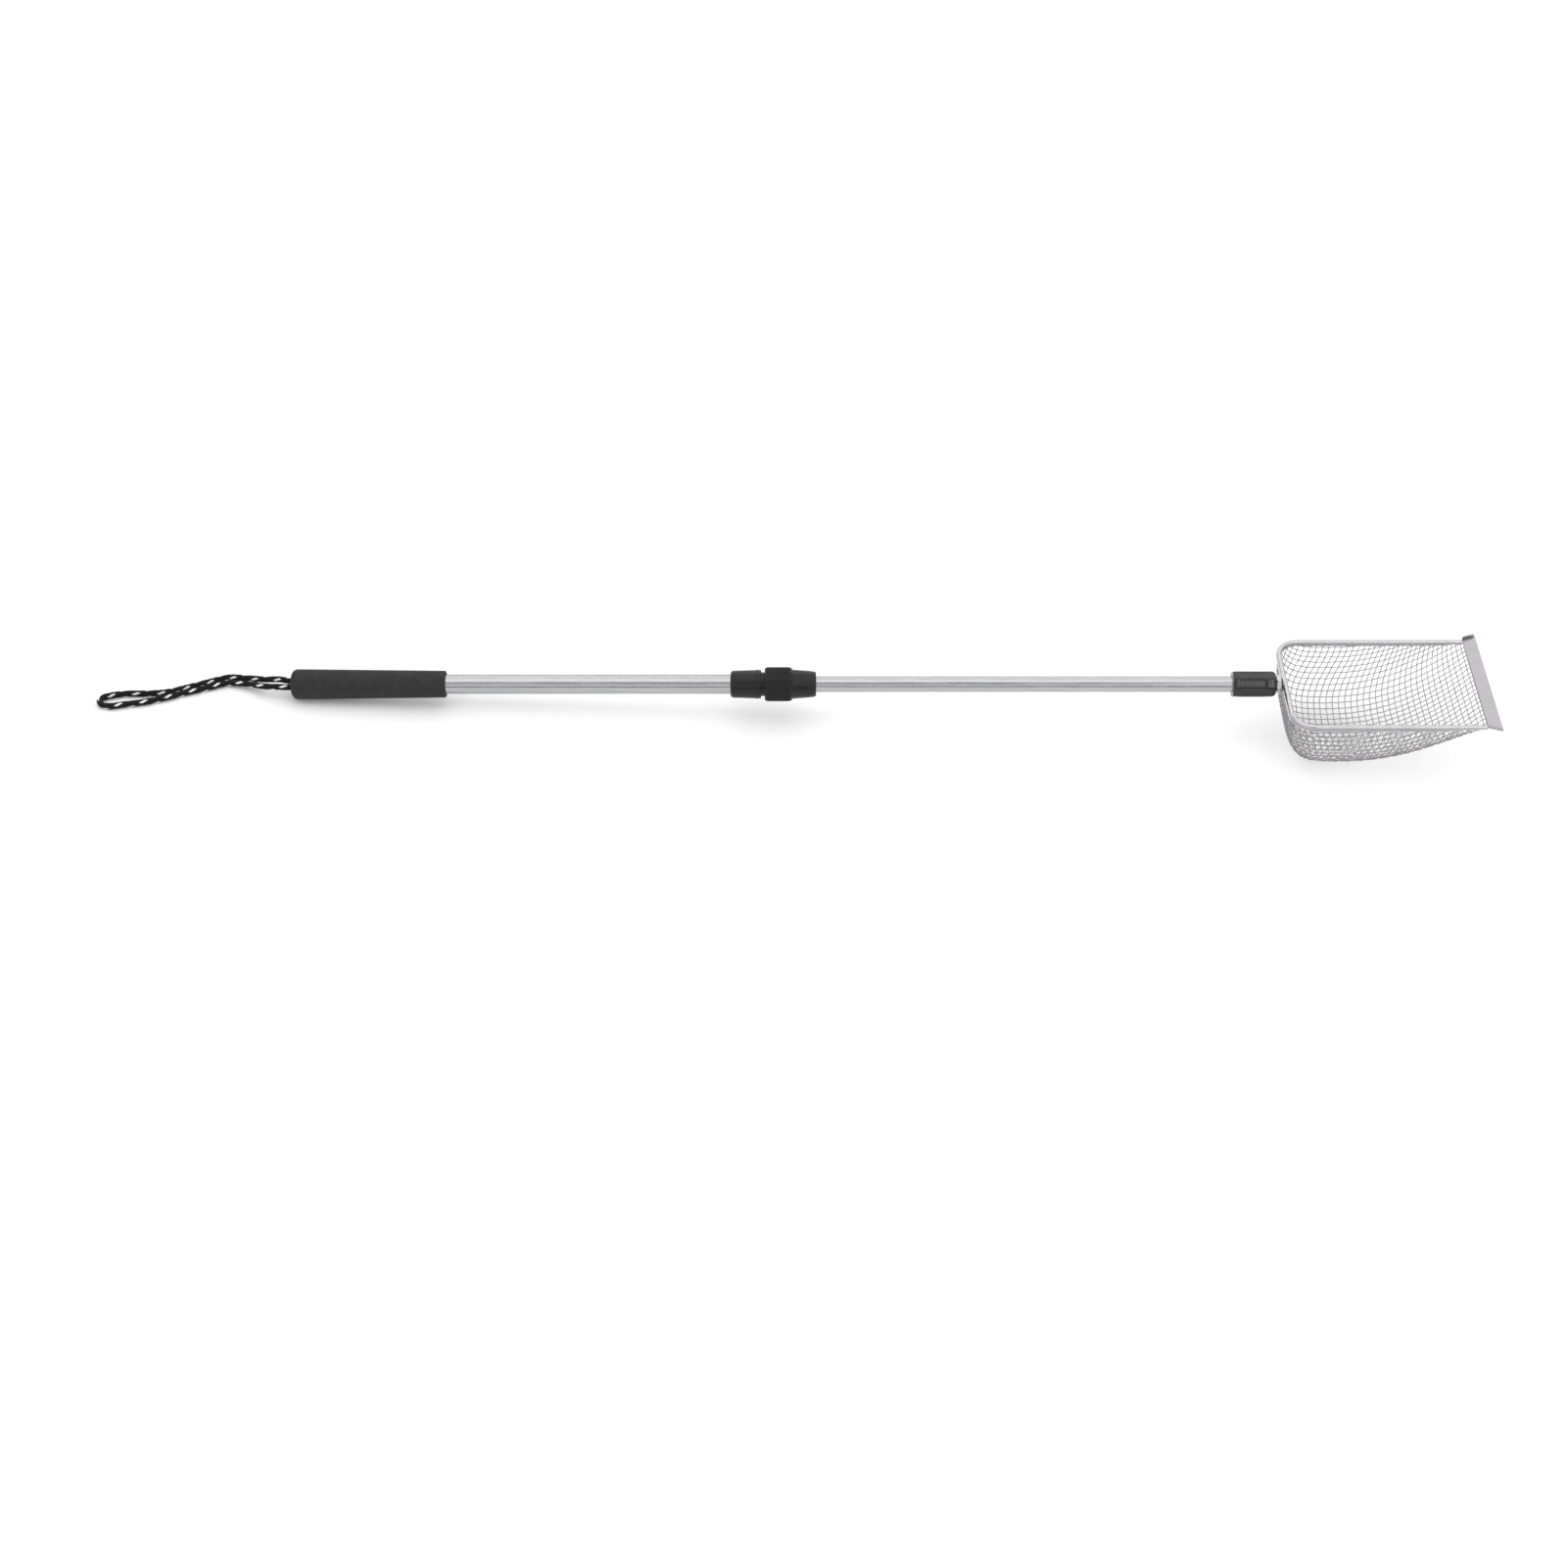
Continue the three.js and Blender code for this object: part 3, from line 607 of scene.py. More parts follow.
def drawn_aluminium(name):
    material, tree, shader = new_material(name, (0.45, 0.45, 0.46), 1, 0.25)
    lines = grain(tree, 1.2 * MM, detail=4, stretch=(0.004, 1, 1), rough=0.75)
    bloom = grain(tree, 14 * MM, detail=3, stretch=(0.3, 1, 1))
    metal = blended(tree, spread(tree, lines, 0, 1, 0.3, 0.7), (0.38, 0.38, 0.39), (0.5, 0.5, 0.51))
    hazy = blended(tree, spread(tree, bloom, 0, 0.35, 0.4, 0.75), metal, (0.48, 0.48, 0.49))
    tree.links.new(hazy, shader.inputs["Base Color"])
    tree.links.new(spread(tree, lines, 0.16, 0.34, 0.3, 0.7), shader.inputs["Roughness"])
    roughened(tree, shader, lines, 0.06 * MM, 0.6)
    return material


place_piece(
    "outer_pole",
    tube_mesh("outer_tube", OUTER_TUBE_START, OUTER_TUBE_END, OUTER_TUBE_RADIUS, OUTER_TUBE_WALL),
    drawn_aluminium("outer_aluminium"),
    "outer_aluminium",
    "handle",
    "outer_tube",
)

# ---- Lock body ----
# Moulded plastic, pressed over the end of the outer tube. Its collar is gripped while the nut is
# turned, and a threaded spigot in front of the collar carries the nut.
LOCK_START = 358.3 * MM
COLLAR_END = 383.3 * MM
COLLAR_REAR_RADIUS = 10.9 * MM
COLLAR_FRONT_RADIUS = 12 * MM
COLLAR_BEAD_START = 379.2 * MM
COLLAR_BEAD_END = 380.6 * MM
BEAD_HEIGHT = 0.35 * MM
BEAD_SLOPE = 0.3 * MM
COLLAR_REAR_ROUND = 2.6 * MM
COLLAR_FRONT_ROUND = 0.6 * MM
NECK_RADIUS = 9.8 * MM
NUT_START = 386.2 * MM
SPIGOT_RADIUS = 9.3 * MM
SPIGOT_END = 402 * MM
THROAT_RADIUS = 6.65 * MM
LOCK_GAP = 0.3 * MM


def turned(name, outline):
    """A piece turned to an outline of stations and radii."""
    return skin(name, [circle(x, r) for x, r in outline], crease=28)


lock_body_outline = [
    (LOCK_START, GRIP_BORE),
    *quarter(
        LOCK_START + COLLAR_REAR_ROUND, COLLAR_REAR_RADIUS - 2.4 * MM, COLLAR_REAR_ROUND, 180, 95
    ),
    (COLLAR_BEAD_START, COLLAR_FRONT_RADIUS - BEAD_HEIGHT),
    (COLLAR_BEAD_START + BEAD_SLOPE, COLLAR_FRONT_RADIUS),
    (COLLAR_BEAD_END, COLLAR_FRONT_RADIUS),
    (COLLAR_BEAD_END + BEAD_SLOPE, COLLAR_FRONT_RADIUS - BEAD_HEIGHT),
    *quarter(
        COLLAR_END - COLLAR_FRONT_ROUND, COLLAR_FRONT_RADIUS - 0.8 * MM, COLLAR_FRONT_ROUND, 90, 0, 5
    ),
    (COLLAR_END, NECK_RADIUS),
    (NUT_START - LOCK_GAP, NECK_RADIUS),
    (NUT_START - LOCK_GAP, SPIGOT_RADIUS),
    (SPIGOT_END, SPIGOT_RADIUS),
    (SPIGOT_END, THROAT_RADIUS),
    (OUTER_TUBE_END + LOCK_GAP, THROAT_RADIUS),
    (OUTER_TUBE_END + LOCK_GAP, GRIP_BORE),
]
lock_plastic = moulded_plastic("lock_plastic", (0.007, 0.0068, 0.0067), 0.36, shine=0.28)
place_piece(
    "lock_collar",
    turned("lock_body", lock_body_outline),
    lock_plastic,
    "lock_plastic",
    "handle",
    "lock_body",
)

# ---- Lock nut ----
# One moulding: a ribbed ring to turn by hand, and a long cone in front of it. Inside it a seat
# squeezes the split collet on to the inner tube. A pip on the ring marks the locked position.
KNURL_END = 408.6 * MM
RING_RADIUS = 13.35 * MM
RIB_REACH = 14 * MM
RIBS = 40
RIB_RADIUS = 0.75 * MM
LOCK_END = 428.2 * MM
CONE_REAR_RADIUS = 12 * MM
CONE_FRONT_RADIUS = 10.2 * MM
COLLET_END = 413 * MM
NUT_CAVITY = 9.6 * MM
NUT_SEAT = 8.5 * MM
NUT_THROAT = 6.8 * MM
SEAL_SEAT = 7.7 * MM
SEAL_START = 423 * MM
THROAT_START = SEAL_START - 4.7 * MM
RING_ROUND = 1 * MM
MOUTH_ROUND = 1.6 * MM
RIB_MARGIN = 0.9 * MM
PIP_STATION = 391 * MM
PIP_RADIUS = 1.2 * MM
PIP_DOME = 0.35 * MM
PIP_ROOT = 1 * MM
PIP_TURN = math.radians(36)


def grown(name, mesh, tree, **sizes):
    """The plain mesh that a node tree makes of a mesh, with its named sizes set."""
    source = bpy.data.objects.new(name + "_source", mesh)
    scene.collection.objects.link(source)
    modifier = source.modifiers.new("grow", "NODES")
    modifier.node_group = tree
    for socket in tree.interface.items_tree:
        if socket.in_out == "INPUT" and socket.name in sizes:
            modifier[socket.identifier] = sizes[socket.name]
    depsgraph = bpy.context.evaluated_depsgraph_get()
    made = bpy.data.meshes.new_from_object(source.evaluated_get(depsgraph))
    made.name = name
    bpy.data.objects.remove(source)
    return made


def size_tree(name, *sizes):
    """An empty node tree for geometry with named sizes, and its group input and output."""
    tree = bpy.data.node_groups.new(name, "GeometryNodeTree")
    tree.interface.new_socket("Geometry", in_out="INPUT", socket_type="NodeSocketGeometry")
    for size in sizes:
        kind = "NodeSocketInt" if size == "Count" else "NodeSocketFloat"
        tree.interface.new_socket(size, in_out="INPUT", socket_type=kind)
    tree.interface.new_socket("Geometry", in_out="OUTPUT", socket_type="NodeSocketGeometry")
    return tree, node(tree, "NodeGroupInput"), node(tree, "NodeGroupOutput")


def rib_tree(material):
    """Round-backed ribs with tapered ends, stood round a ring about the local x axis."""
    tree, sizes, result = size_tree("ribs_round_ring", "Count", "Start", "End", "Ring", "Rib")
    starts = node(
        tree, "ShaderNodeCombineXYZ", {"X": sizes.outputs["Start"], "Z": sizes.outputs["Ring"]}
    )
    ends = node(
        tree, "ShaderNodeCombineXYZ", {"X": sizes.outputs["End"], "Z": sizes.outputs["Ring"]}
    )
    line = node(
        tree, "GeometryNodeCurvePrimitiveLine", {"Start": starts.outputs[0], "End": ends.outputs[0]}
    )
    stepped = node(tree, "GeometryNodeResampleCurve", {"Curve": line.outputs["Curve"], "Count": 13})
    along_rib = node(tree, "GeometryNodeSplineParameter").outputs["Factor"]
    bow = node(tree, "ShaderNodeFloatCurve", {"Value": along_rib})
    shape = bow.mapping.curves[0].points
    shape[0].location, shape[1].location = (0, 0.35), (1, 0.35)
    for spot in ((0.07, 0.92), (0.5, 1), (0.93, 0.92)):
        shape.new(*spot)
    bow.mapping.update()
    profile = node(
        tree,
        "GeometryNodeCurvePrimitiveCircle",
        {"Resolution": 8, "Radius": sizes.outputs["Rib"]},
        mode="RADIUS",
    )
    rib = node(
        tree,
        "GeometryNodeCurveToMesh",
        {
            "Curve": stepped.outputs["Curve"],
            "Profile Curve": profile.outputs["Curve"],
            "Scale": bow.outputs["Value"],
            "Fill Caps": True,
        },
    )
    spots = node(tree, "GeometryNodePoints", {"Count": sizes.outputs["Count"]})
    order = node(tree, "GeometryNodeInputIndex").outputs["Index"]
    share = node(
        tree, "ShaderNodeMath", {0: order, 1: sizes.outputs["Count"]}, operation="DIVIDE"
    )
    turn = node(
        tree, "ShaderNodeMath", {0: share.outputs[0], 1: 2 * math.pi}, operation="MULTIPLY"
    )
    turned_by = node(tree, "ShaderNodeCombineXYZ", {"X": turn.outputs[0]})
    stood = node(
        tree,
        "GeometryNodeInstanceOnPoints",
        {
            "Points": spots.outputs[0],
            "Instance": rib.outputs["Mesh"],
            "Rotation": turned_by.outputs[0],
        },
    )
    real = node(tree, "GeometryNodeRealizeInstances", {"Geometry": stood.outputs["Instances"]})
    smooth = node(tree, "GeometryNodeSetShadeSmooth", {"Geometry": real.outputs["Geometry"]})
    coloured = node(
        tree,
        "GeometryNodeSetMaterial",
        {"Geometry": smooth.outputs["Geometry"], "Material": material},
    )
    tree.links.new(coloured.outputs["Geometry"], result.inputs["Geometry"])
    return tree


lock_nut_outline = [
    (NUT_START, NUT_CAVITY),
    *quarter(NUT_START + RING_ROUND, RING_RADIUS - RING_ROUND, RING_ROUND, 180, 90, 6),
    *quarter(KNURL_END - RING_ROUND, RING_RADIUS - RING_ROUND, RING_ROUND, 90, 5, 6),
    (KNURL_END + 0.2 * MM, CONE_REAR_RADIUS + 0.15 * MM),
    (KNURL_END + 0.7 * MM, CONE_REAR_RADIUS - 0.1 * MM),
    (LOCK_END - 6 * MM, CONE_FRONT_RADIUS + 0.75 * MM),
    *quarter(LOCK_END - MOUTH_ROUND, CONE_FRONT_RADIUS - 1.4 * MM, MOUTH_ROUND, 80, 0, 7),
    (LOCK_END, SEAL_SEAT),
    (SEAL_START, SEAL_SEAT),
    (SEAL_START, NUT_THROAT),
    (THROAT_START, NUT_THROAT),
    (THROAT_START, NUT_SEAT),
    (COLLET_END, NUT_SEAT),
    (SPIGOT_END + 1 * MM, NUT_CAVITY),
]
place_piece(
    "lock_nut_ring",
    turned("lock_nut", lock_nut_outline),
    lock_plastic,
    "lock_plastic",
    "nut",
    "lock_nut",
)


def pip_mesh():
    """A low dome that stands on the ring between its ribs."""
    rings = []
    for k in range(7):
        angle = math.radians(15 * k)
        radius = max(PIP_RADIUS * math.cos(angle), 0.02 * MM)
        lift = RIB_REACH - PIP_DOME + PIP_DOME * math.sin(angle)
        rings.append([(PIP_STATION + radius * a, radius * b, lift) for _, a, b in circle(0, 1, 24)])
    rings.insert(0, [(x, y, z - PIP_ROOT) for x, y, z in rings[0]])
    turn = Matrix.Rotation(PIP_TURN, 4, "X")
    return skin("lock_nut_pip", rings, ends="closed", at=pole @ turn)


place_piece("lock_nut_pip", pip_mesh(), lock_plastic, "lock_plastic", "nut")
rib_mesh = grown(
    "lock_nut_ribs",
    bpy.data.meshes.new("rib_start"),
    rib_tree(lock_plastic),
    Count=RIBS,
    Start=NUT_START + RIB_MARGIN,
    End=KNURL_END - RIB_MARGIN,
    Ring=RIB_REACH - RIB_RADIUS,
    Rib=RIB_RADIUS,
)
rib_mesh.transform(pole)
place_piece("lock_nut_ribs", rib_mesh, None, "lock_plastic", "nut")

# The rings inside the lock: the split collet, the thrust ring and the bush that guides the inner
# tube are natural moulded plastic, and the wiper at the nut's mouth is soft black rubber.
natural_plastic = moulded_plastic("natural_plastic", (0.62, 0.61, 0.57), 0.5)
dress(natural_plastic, "collet", "thrust_ring", "guide_bush")
dress(moulded_plastic("seal_rubber", (0.01, 0.01, 0.01), 0.8, 0.06 * MM), "wiper_seal")

# ---- Inner tube ----
# A 13 mm drawn aluminium tube that slides in the outer one. The cap closes its front end.
INNER_TUBE_START = 371.8 * MM
INNER_TUBE_END = 798 * MM
INNER_TUBE_RADIUS = 6.5 * MM
INNER_TUBE_WALL = 0.9 * MM
place_piece(
    "inner_pole",
    tube_mesh("inner_tube", INNER_TUBE_START, INNER_TUBE_END, INNER_TUBE_RADIUS, INNER_TUBE_WALL),
    drawn_aluminium("inner_aluminium"),
    "inner_aluminium",
    "extension",
    "inner_tube",
)

# ---- End cap ----
# A glossy moulded cap with eight flats, each with a shallow sunk panel. It is pushed over the
# front of the inner tube, where a turned brass insert takes the thread of the scoop's stud.
CAP_START = 768 * MM
CAP_END = 803.4 * MM
CAP_APOTHEM = 10.3 * MM
CAP_FLATS = 8
CAP_ROUND = 3.6 * MM
CAP_REAR_CHAMFER = 1.2 * MM
CAP_EDGE_SOFTENING = 0.022
CAP_STEPS = 44
PANEL_SUNK = 0.4 * MM
PANEL_START = 773 * MM
PANEL_END = 795 * MM
PANEL_SLOPE = 1 * MM
CAP_BORE = 6.8 * MM
STUD_HOLE = 4.3 * MM


def smoothly(value, low, high):
    """0 below low, 1 above high, and a smooth step between them."""
    t = min(1, max(0, (value - low) / (high - low)))
    return t * t * (3 - 2 * t)


def cap_ring(station, facets):
    """A ring of the cap: eight flats with their panels, drawn in at both ends."""
    ring = []
    turn_of_flat = 2 * math.pi / CAP_FLATS
    front = station - (CAP_END - CAP_ROUND)
    pull = 0 if front < 0 else CAP_ROUND - math.sqrt(max(0, CAP_ROUND**2 - front**2))
    rear = max(0, CAP_START + CAP_REAR_CHAMFER - station) * 0.5
    for k in range(facets):
        angle = 2 * math.pi * (k + 0.5) / facets
        off = (angle + turn_of_flat / 2) % turn_of_flat - turn_of_flat / 2
        across = CAP_APOTHEM * math.tan(off)
        edge = abs(across) / (CAP_APOTHEM * math.tan(turn_of_flat / 2))
        sunk = PANEL_SUNK * (1 - smoothly(edge, 0.62, 0.8))
        sunk *= smoothly(station, PANEL_START, PANEL_START + PANEL_SLOPE)
        sunk *= 1 - smoothly(station, PANEL_END - PANEL_SLOPE, PANEL_END)
        corner = 1 - CAP_EDGE_SOFTENING * smoothly(edge, 0.8, 1.0)
        radius = (CAP_APOTHEM - sunk) / math.cos(off) * corner - pull - rear
        ring.append((station, radius * math.cos(angle), radius * math.sin(angle)))
    return ring


def cap_mesh():
    count = FACETS * 2
    stations = [
        CAP_START + (CAP_END - CAP_ROUND - CAP_START) * k / CAP_STEPS for k in range(CAP_STEPS + 1)
    ]
    stations += [CAP_END - CAP_ROUND * (1 - math.sin(math.radians(9 * k))) for k in range(1, 11)]
    rings = [cap_ring(s, count) for s in stations]
    seat = INNER_TUBE_END + LOCK_GAP
    bore = [(CAP_END, STUD_HOLE), (seat, STUD_HOLE), (seat, CAP_BORE), (CAP_START, CAP_BORE)]
    rings += [circle(x, r, count) for x, r in bore]
    return skin("end_cap", rings, crease=35)


cap_plastic = moulded_plastic("cap_plastic", (0.011, 0.011, 0.011), 0.16, 0.004 * MM, shine=0.42)
place_piece("octagon_cap", cap_mesh(), cap_plastic, "black_plastic", "extension", "end_cap")


def turned_brass():
    material, tree, shader = new_material("insert_brass", (0.55, 0.4, 0.16), 1, 0.3)
    rings = grain(tree, 0.4 * MM, detail=2, stretch=(1, 0.02, 0.02))
    tree.links.new(spread(tree, rings, 0.22, 0.42), shader.inputs["Roughness"])
    roughened(tree, shader, rings, 0.02 * MM)
    return material


dress(turned_brass(), "threaded_insert")

# ---- Stud and jam nut ----
# A threaded steel stud, flared where it is welded to the back of the rim, and the hexagon nut that
# locks it against the cap. Both are polished bright like the rim.
STUD_RADIUS = 4 * MM
STUD_START = 782 * MM
BOSS_START = 808 * MM
BOSS_RADIUS = 5.6 * MM
BOSS_FLARE = [(0.05 * MM, 4.2 * MM), (0.5 * MM, 4.9 * MM), (0.9 * MM, BOSS_RADIUS)]
SCOOP_BACK = 809.4 * MM
THREAD_PITCH = 1.25 * MM
THREAD_DEPTH = 0.6 * MM
STEPS_PER_THREAD = 4
NUT_BACK = 803.7 * MM
NUT_FRONT = 807.7 * MM
NUT_APOTHEM = 6.5 * MM
NUT_HOLE = 4.3 * MM
NUT_CHAMFER = [(0, 6.3 * MM), (0.35 * MM, 6.9 * MM), (0.7 * MM, 7.3 * MM), (1.1 * MM, 7.6 * MM)]


def polished_steel(name, colour, roughness):
    """Steel polished on a buffing wheel: almost a mirror, with hairline scratches."""
    material, tree, shader = new_material(name, colour, 1, roughness)
    hairlines = grain(tree, 0.5 * MM, detail=4, stretch=(0.06, 1, 1), rough=0.75)
    smears = grain(tree, 11 * MM, detail=3)
    tree.links.new(
        blended(tree, spread(tree, smears, 0, 1, 0.3, 0.7), tuple(c * 0.9 for c in colour), colour),
        shader.inputs["Base Color"],
    )
    tree.links.new(
        spread(tree, hairlines, roughness * 0.6, roughness * 1.7, 0.3, 0.7),
        shader.inputs["Roughness"],
    )
    roughened(tree, shader, hairlines, 0.008 * MM)
    return material


rim_steel = polished_steel("rim_steel", (0.5, 0.48, 0.495), 0.06)


def stud_mesh():
    """The thread is a helical groove, and the flare beyond it is welded to the rim."""
    rings = []
    steps = int((BOSS_START - STUD_START) / THREAD_PITCH * STEPS_PER_THREAD) + 1
    stations = [STUD_START + THREAD_PITCH * k / STEPS_PER_THREAD for k in range(steps)]
    for station in stations:
        ring = []
        for k, (x, across, height) in enumerate(circle(station, 1)):
            turn = (station / THREAD_PITCH + k / FACETS) % 1
            radius = STUD_RADIUS - THREAD_DEPTH * (1 - abs(2 * turn - 1))
            ring.append((x, across * radius, height * radius))
        rings.append(ring)
    rings += [circle(BOSS_START + x, r) for x, r in BOSS_FLARE]
    rings.append(circle(SCOOP_BACK - LOCK_GAP, BOSS_RADIUS))
    return skin("scoop_stud", rings, ends="closed", crease=60)


def nut_mesh():
    """Hexagon cut from a turned blank, so that its corners are chamfered in arcs."""
    rings = []
    blank = [(NUT_BACK + x, r) for x, r in NUT_CHAMFER]
    blank += [(NUT_FRONT - x, r) for x, r in reversed(NUT_CHAMFER)]
    sixth = math.pi / 3
    for station, limit in blank:
        ring = []
        for x, across, height in circle(station, 1):
            off = (math.atan2(height, across) + sixth) % sixth - sixth / 2
            radius = min(limit, NUT_APOTHEM / math.cos(off))
            ring.append((x, across * radius, height * radius))
        rings.append(ring)
    rings += [circle(NUT_FRONT, NUT_HOLE), circle(NUT_BACK, NUT_HOLE)]
    return skin("jam_nut", rings, crease=20)


place_piece("welded_stud", stud_mesh(), rim_steel, "rim_steel", "extension", "scoop_stud")
place_piece("hexagon_nut", nut_mesh(), rim_steel, "rim_steel", "extension", "jam_nut")

# ---- Rim channel ----
# A strip of polished stainless steel, rolled to a crowned channel over the edge of the mesh and
# bent to a U. A groove parts its crown from the outer wall, which is deeper than the fold inside,
# and both get shallow at the lip.
RIM_HALF_WIDTH = 55 * MM
RIM_CORNER = 20 * MM
RIM_THICKNESS = 4.4 * MM
RIM_SHEET = 0.8 * MM
RIM_TOP = 2 * MM
RIM_BOTTOM = -3 * MM
RIM_SHOULDER = -0.3 * MM
RIM_GROOVE = 0.45 * MM
RIM_EDGE_CHAMFER = 0.25 * MM
CROWN_POWER = 2.2  # above 2 the crown is flatter than an ellipse
FOLD_BOTTOM = -2.2 * MM
RIM_TAPER = 45 * MM
RIM_TIP_BOTTOM = -0.6 * MM
FOLD_STOP = 25 * MM
LIP_BACK = 966.4 * MM
RIM_END = LIP_BACK - 0.3 * MM


def rim_line():
    """Places on the rim's outer edge, from one end to the other, each with the way inwards."""
    straight = RIM_HALF_WIDTH - RIM_CORNER
    corner = SCOOP_BACK + RIM_CORNER
    half = []
    for k in range(25):
        station = RIM_END + (corner - RIM_END) * k / 24
        half.append(((station, -RIM_HALF_WIDTH), (0, 1)))
    for k in range(1, 19):
        angle = math.radians(5 * k)
        way = (math.sin(angle), math.cos(angle))
        half.append(((corner - RIM_CORNER * way[0], -straight - RIM_CORNER * way[1]), way))
    for k in range(1, 5):
        half.append(((SCOOP_BACK, -straight + straight * k / 4), (1, 0)))
    mirrored = [((x, -y), (a, -b)) for (x, y), (a, b) in half[-2::-1]]
    return half + mirrored


def rim_section(station):
    """The channel's outline, as distances in from its outer edge and heights."""
    near_lip = smoothly(station, LIP_BACK - RIM_TAPER, LIP_BACK)
    wall = RIM_BOTTOM + (RIM_TIP_BOTTOM - RIM_BOTTOM) * near_lip
    fold = FOLD_BOTTOM + (RIM_SHOULDER - 0.1 * MM - FOLD_BOTTOM) * smoothly(
        station, LIP_BACK - FOLD_STOP, LIP_BACK - 2 * MM
    )
    middle = RIM_THICKNESS / 2
    crown = RIM_TOP - RIM_SHOULDER
    turns = [(math.cos(math.pi * k / 16), math.sin(math.pi * k / 16)) for k in range(17)]
    flat = 2 / CROWN_POWER
    outside = [
        (
            middle - middle * math.copysign(abs(c) ** flat, c),
            RIM_SHOULDER + crown * max(0, s) ** flat,
        )
        for c, s in turns
    ]
    inner = middle - RIM_SHEET
    inner_crown = crown - RIM_SHEET
    inside = [
        (
            middle + inner * math.copysign(abs(c) ** flat, c),
            RIM_SHOULDER + inner_crown * max(0, s) ** flat,
        )
        for c, s in turns[::2]
    ]
    start = [(RIM_SHEET, wall), (RIM_EDGE_CHAMFER, wall), (0, wall + RIM_EDGE_CHAMFER)]
    grooved_wall = RIM_SHOULDER - start[-1][1]
    for share, depth in ((0.4, 0), (0.33, RIM_GROOVE), (0.12, RIM_GROOVE)):
        start.append((depth * (1 - near_lip), RIM_SHOULDER - share * grooved_wall))
    end = [(RIM_THICKNESS, fold), (RIM_THICKNESS - RIM_SHEET, fold)]
    return start + outside + end + inside


def rim_mesh():
    rings = []
    for (station, across), (inwards, sideways) in rim_line():
        rings.append(
            [
                (station + d * inwards, across + d * sideways, height)
                for d, height in rim_section(station)
            ]
        )
    return skin("rim_channel", rings, ends="closed", crease=35)


place_piece("rolled_rim", rim_mesh(), rim_steel, "rim_steel", "extension", "rim_channel")

# ---- Lip ----
# A straight scraping edge: satin stainless sheet folded double, with a low ear turned up at each
# end that closes the corner of the rim. A strip spot-welded under it holds the mesh's front edge.
LIP_FRONT = 978 * MM
LIP_FLARE = 4 * MM
LIP_THICKNESS = 1.6 * MM
LIP_CHAMFER = 0.15 * MM
LIP_EAR_HEIGHT = 2.6 * MM
EAR_BEND = 1.3 * MM
EAR_SHEET = 1 * MM
EAR_SETBACK = 0.2 * MM
EAR_SLOPE = 0.7  # how far an ear's front edge leans back for each step up


def lip_section(thickness):
    """The folded sheet seen from its end: station and height over its underside."""
    round_edge = thickness / 2
    nose = [
        (LIP_FRONT - round_edge + round_edge * math.cos(a), round_edge + round_edge * math.sin(a))
        for a in (math.radians(-90 + 180 * k / 10) for k in range(11))
    ]
    top_edge = [(LIP_BACK + LIP_CHAMFER, thickness), (LIP_BACK, thickness - LIP_CHAMFER)]
    return nose + top_edge + [(LIP_BACK, LIP_CHAMFER), (LIP_BACK + LIP_CHAMFER, 0)]


def lip_line():
    """The underside's run from one ear to the other: side, height, way up, thickness."""
    flat = RIM_HALF_WIDTH - EAR_BEND
    bottom = RIM_TOP - LIP_THICKNESS
    ear_top = RIM_TOP + LIP_EAR_HEIGHT
    line = []
    for k in range(13):
        line.append((flat * k / 12, bottom, (0, 1), LIP_THICKNESS))
    for k in range(1, 7):
        angle = math.radians(15 * k)
        sheet = LIP_THICKNESS + (EAR_SHEET - LIP_THICKNESS) * k / 6
        place = (flat + EAR_BEND * math.sin(angle), bottom + EAR_BEND * (1 - math.cos(angle)))
        line.append((*place, (-math.sin(angle), math.cos(angle)), sheet))
    line.append((RIM_HALF_WIDTH, ear_top, (-1, 0), EAR_SHEET))
    mirrored = [(-y, z, (-a, b), t) for y, z, (a, b), t in line[:0:-1]]
    return mirrored + line


def lip_mesh():
    rings = []
    for side, height, (sideways, upwards), sheet in lip_line():
        ring = []
        for station, share in lip_section(LIP_THICKNESS):
            over = share / LIP_THICKNESS * sheet
            flare = 1 + LIP_FLARE / RIM_HALF_WIDTH * (station - LIP_BACK) / (LIP_FRONT - LIP_BACK)
            y = (side + over * sideways) * flare
            z = height + over * upwards
            cut = max(0, z - RIM_TOP) * EAR_SLOPE
            front = LIP_FRONT - EAR_SETBACK - cut if cut else LIP_FRONT
            ring.append((min(station, front), y, z))
        rings.append(ring)
    return skin("scoop_lip", rings, ends="closed", crease=35)


def satin_steel():
    material, tree, shader = new_material("lip_steel", (0.37, 0.35, 0.38), 1, 0.3)
    brushed = grain(tree, 0.6 * MM, detail=4, stretch=(1, 0.012, 1), rough=0.75)
    smears = grain(tree, 9 * MM, detail=2)
    satin = blended(tree, smears, (0.35, 0.33, 0.352), (0.415, 0.395, 0.42))
    tree.links.new(satin, shader.inputs["Base Color"])
    tree.links.new(spread(tree, brushed, 0.2, 0.42, 0.3, 0.7), shader.inputs["Roughness"])
    roughened(tree, shader, brushed, 0.015 * MM)
    return material


lip_steel = satin_steel()
place_piece("folded_lip", lip_mesh(), lip_steel, "lip_steel", "extension", "scoop_lip")
dress(lip_steel, "mesh_strip")

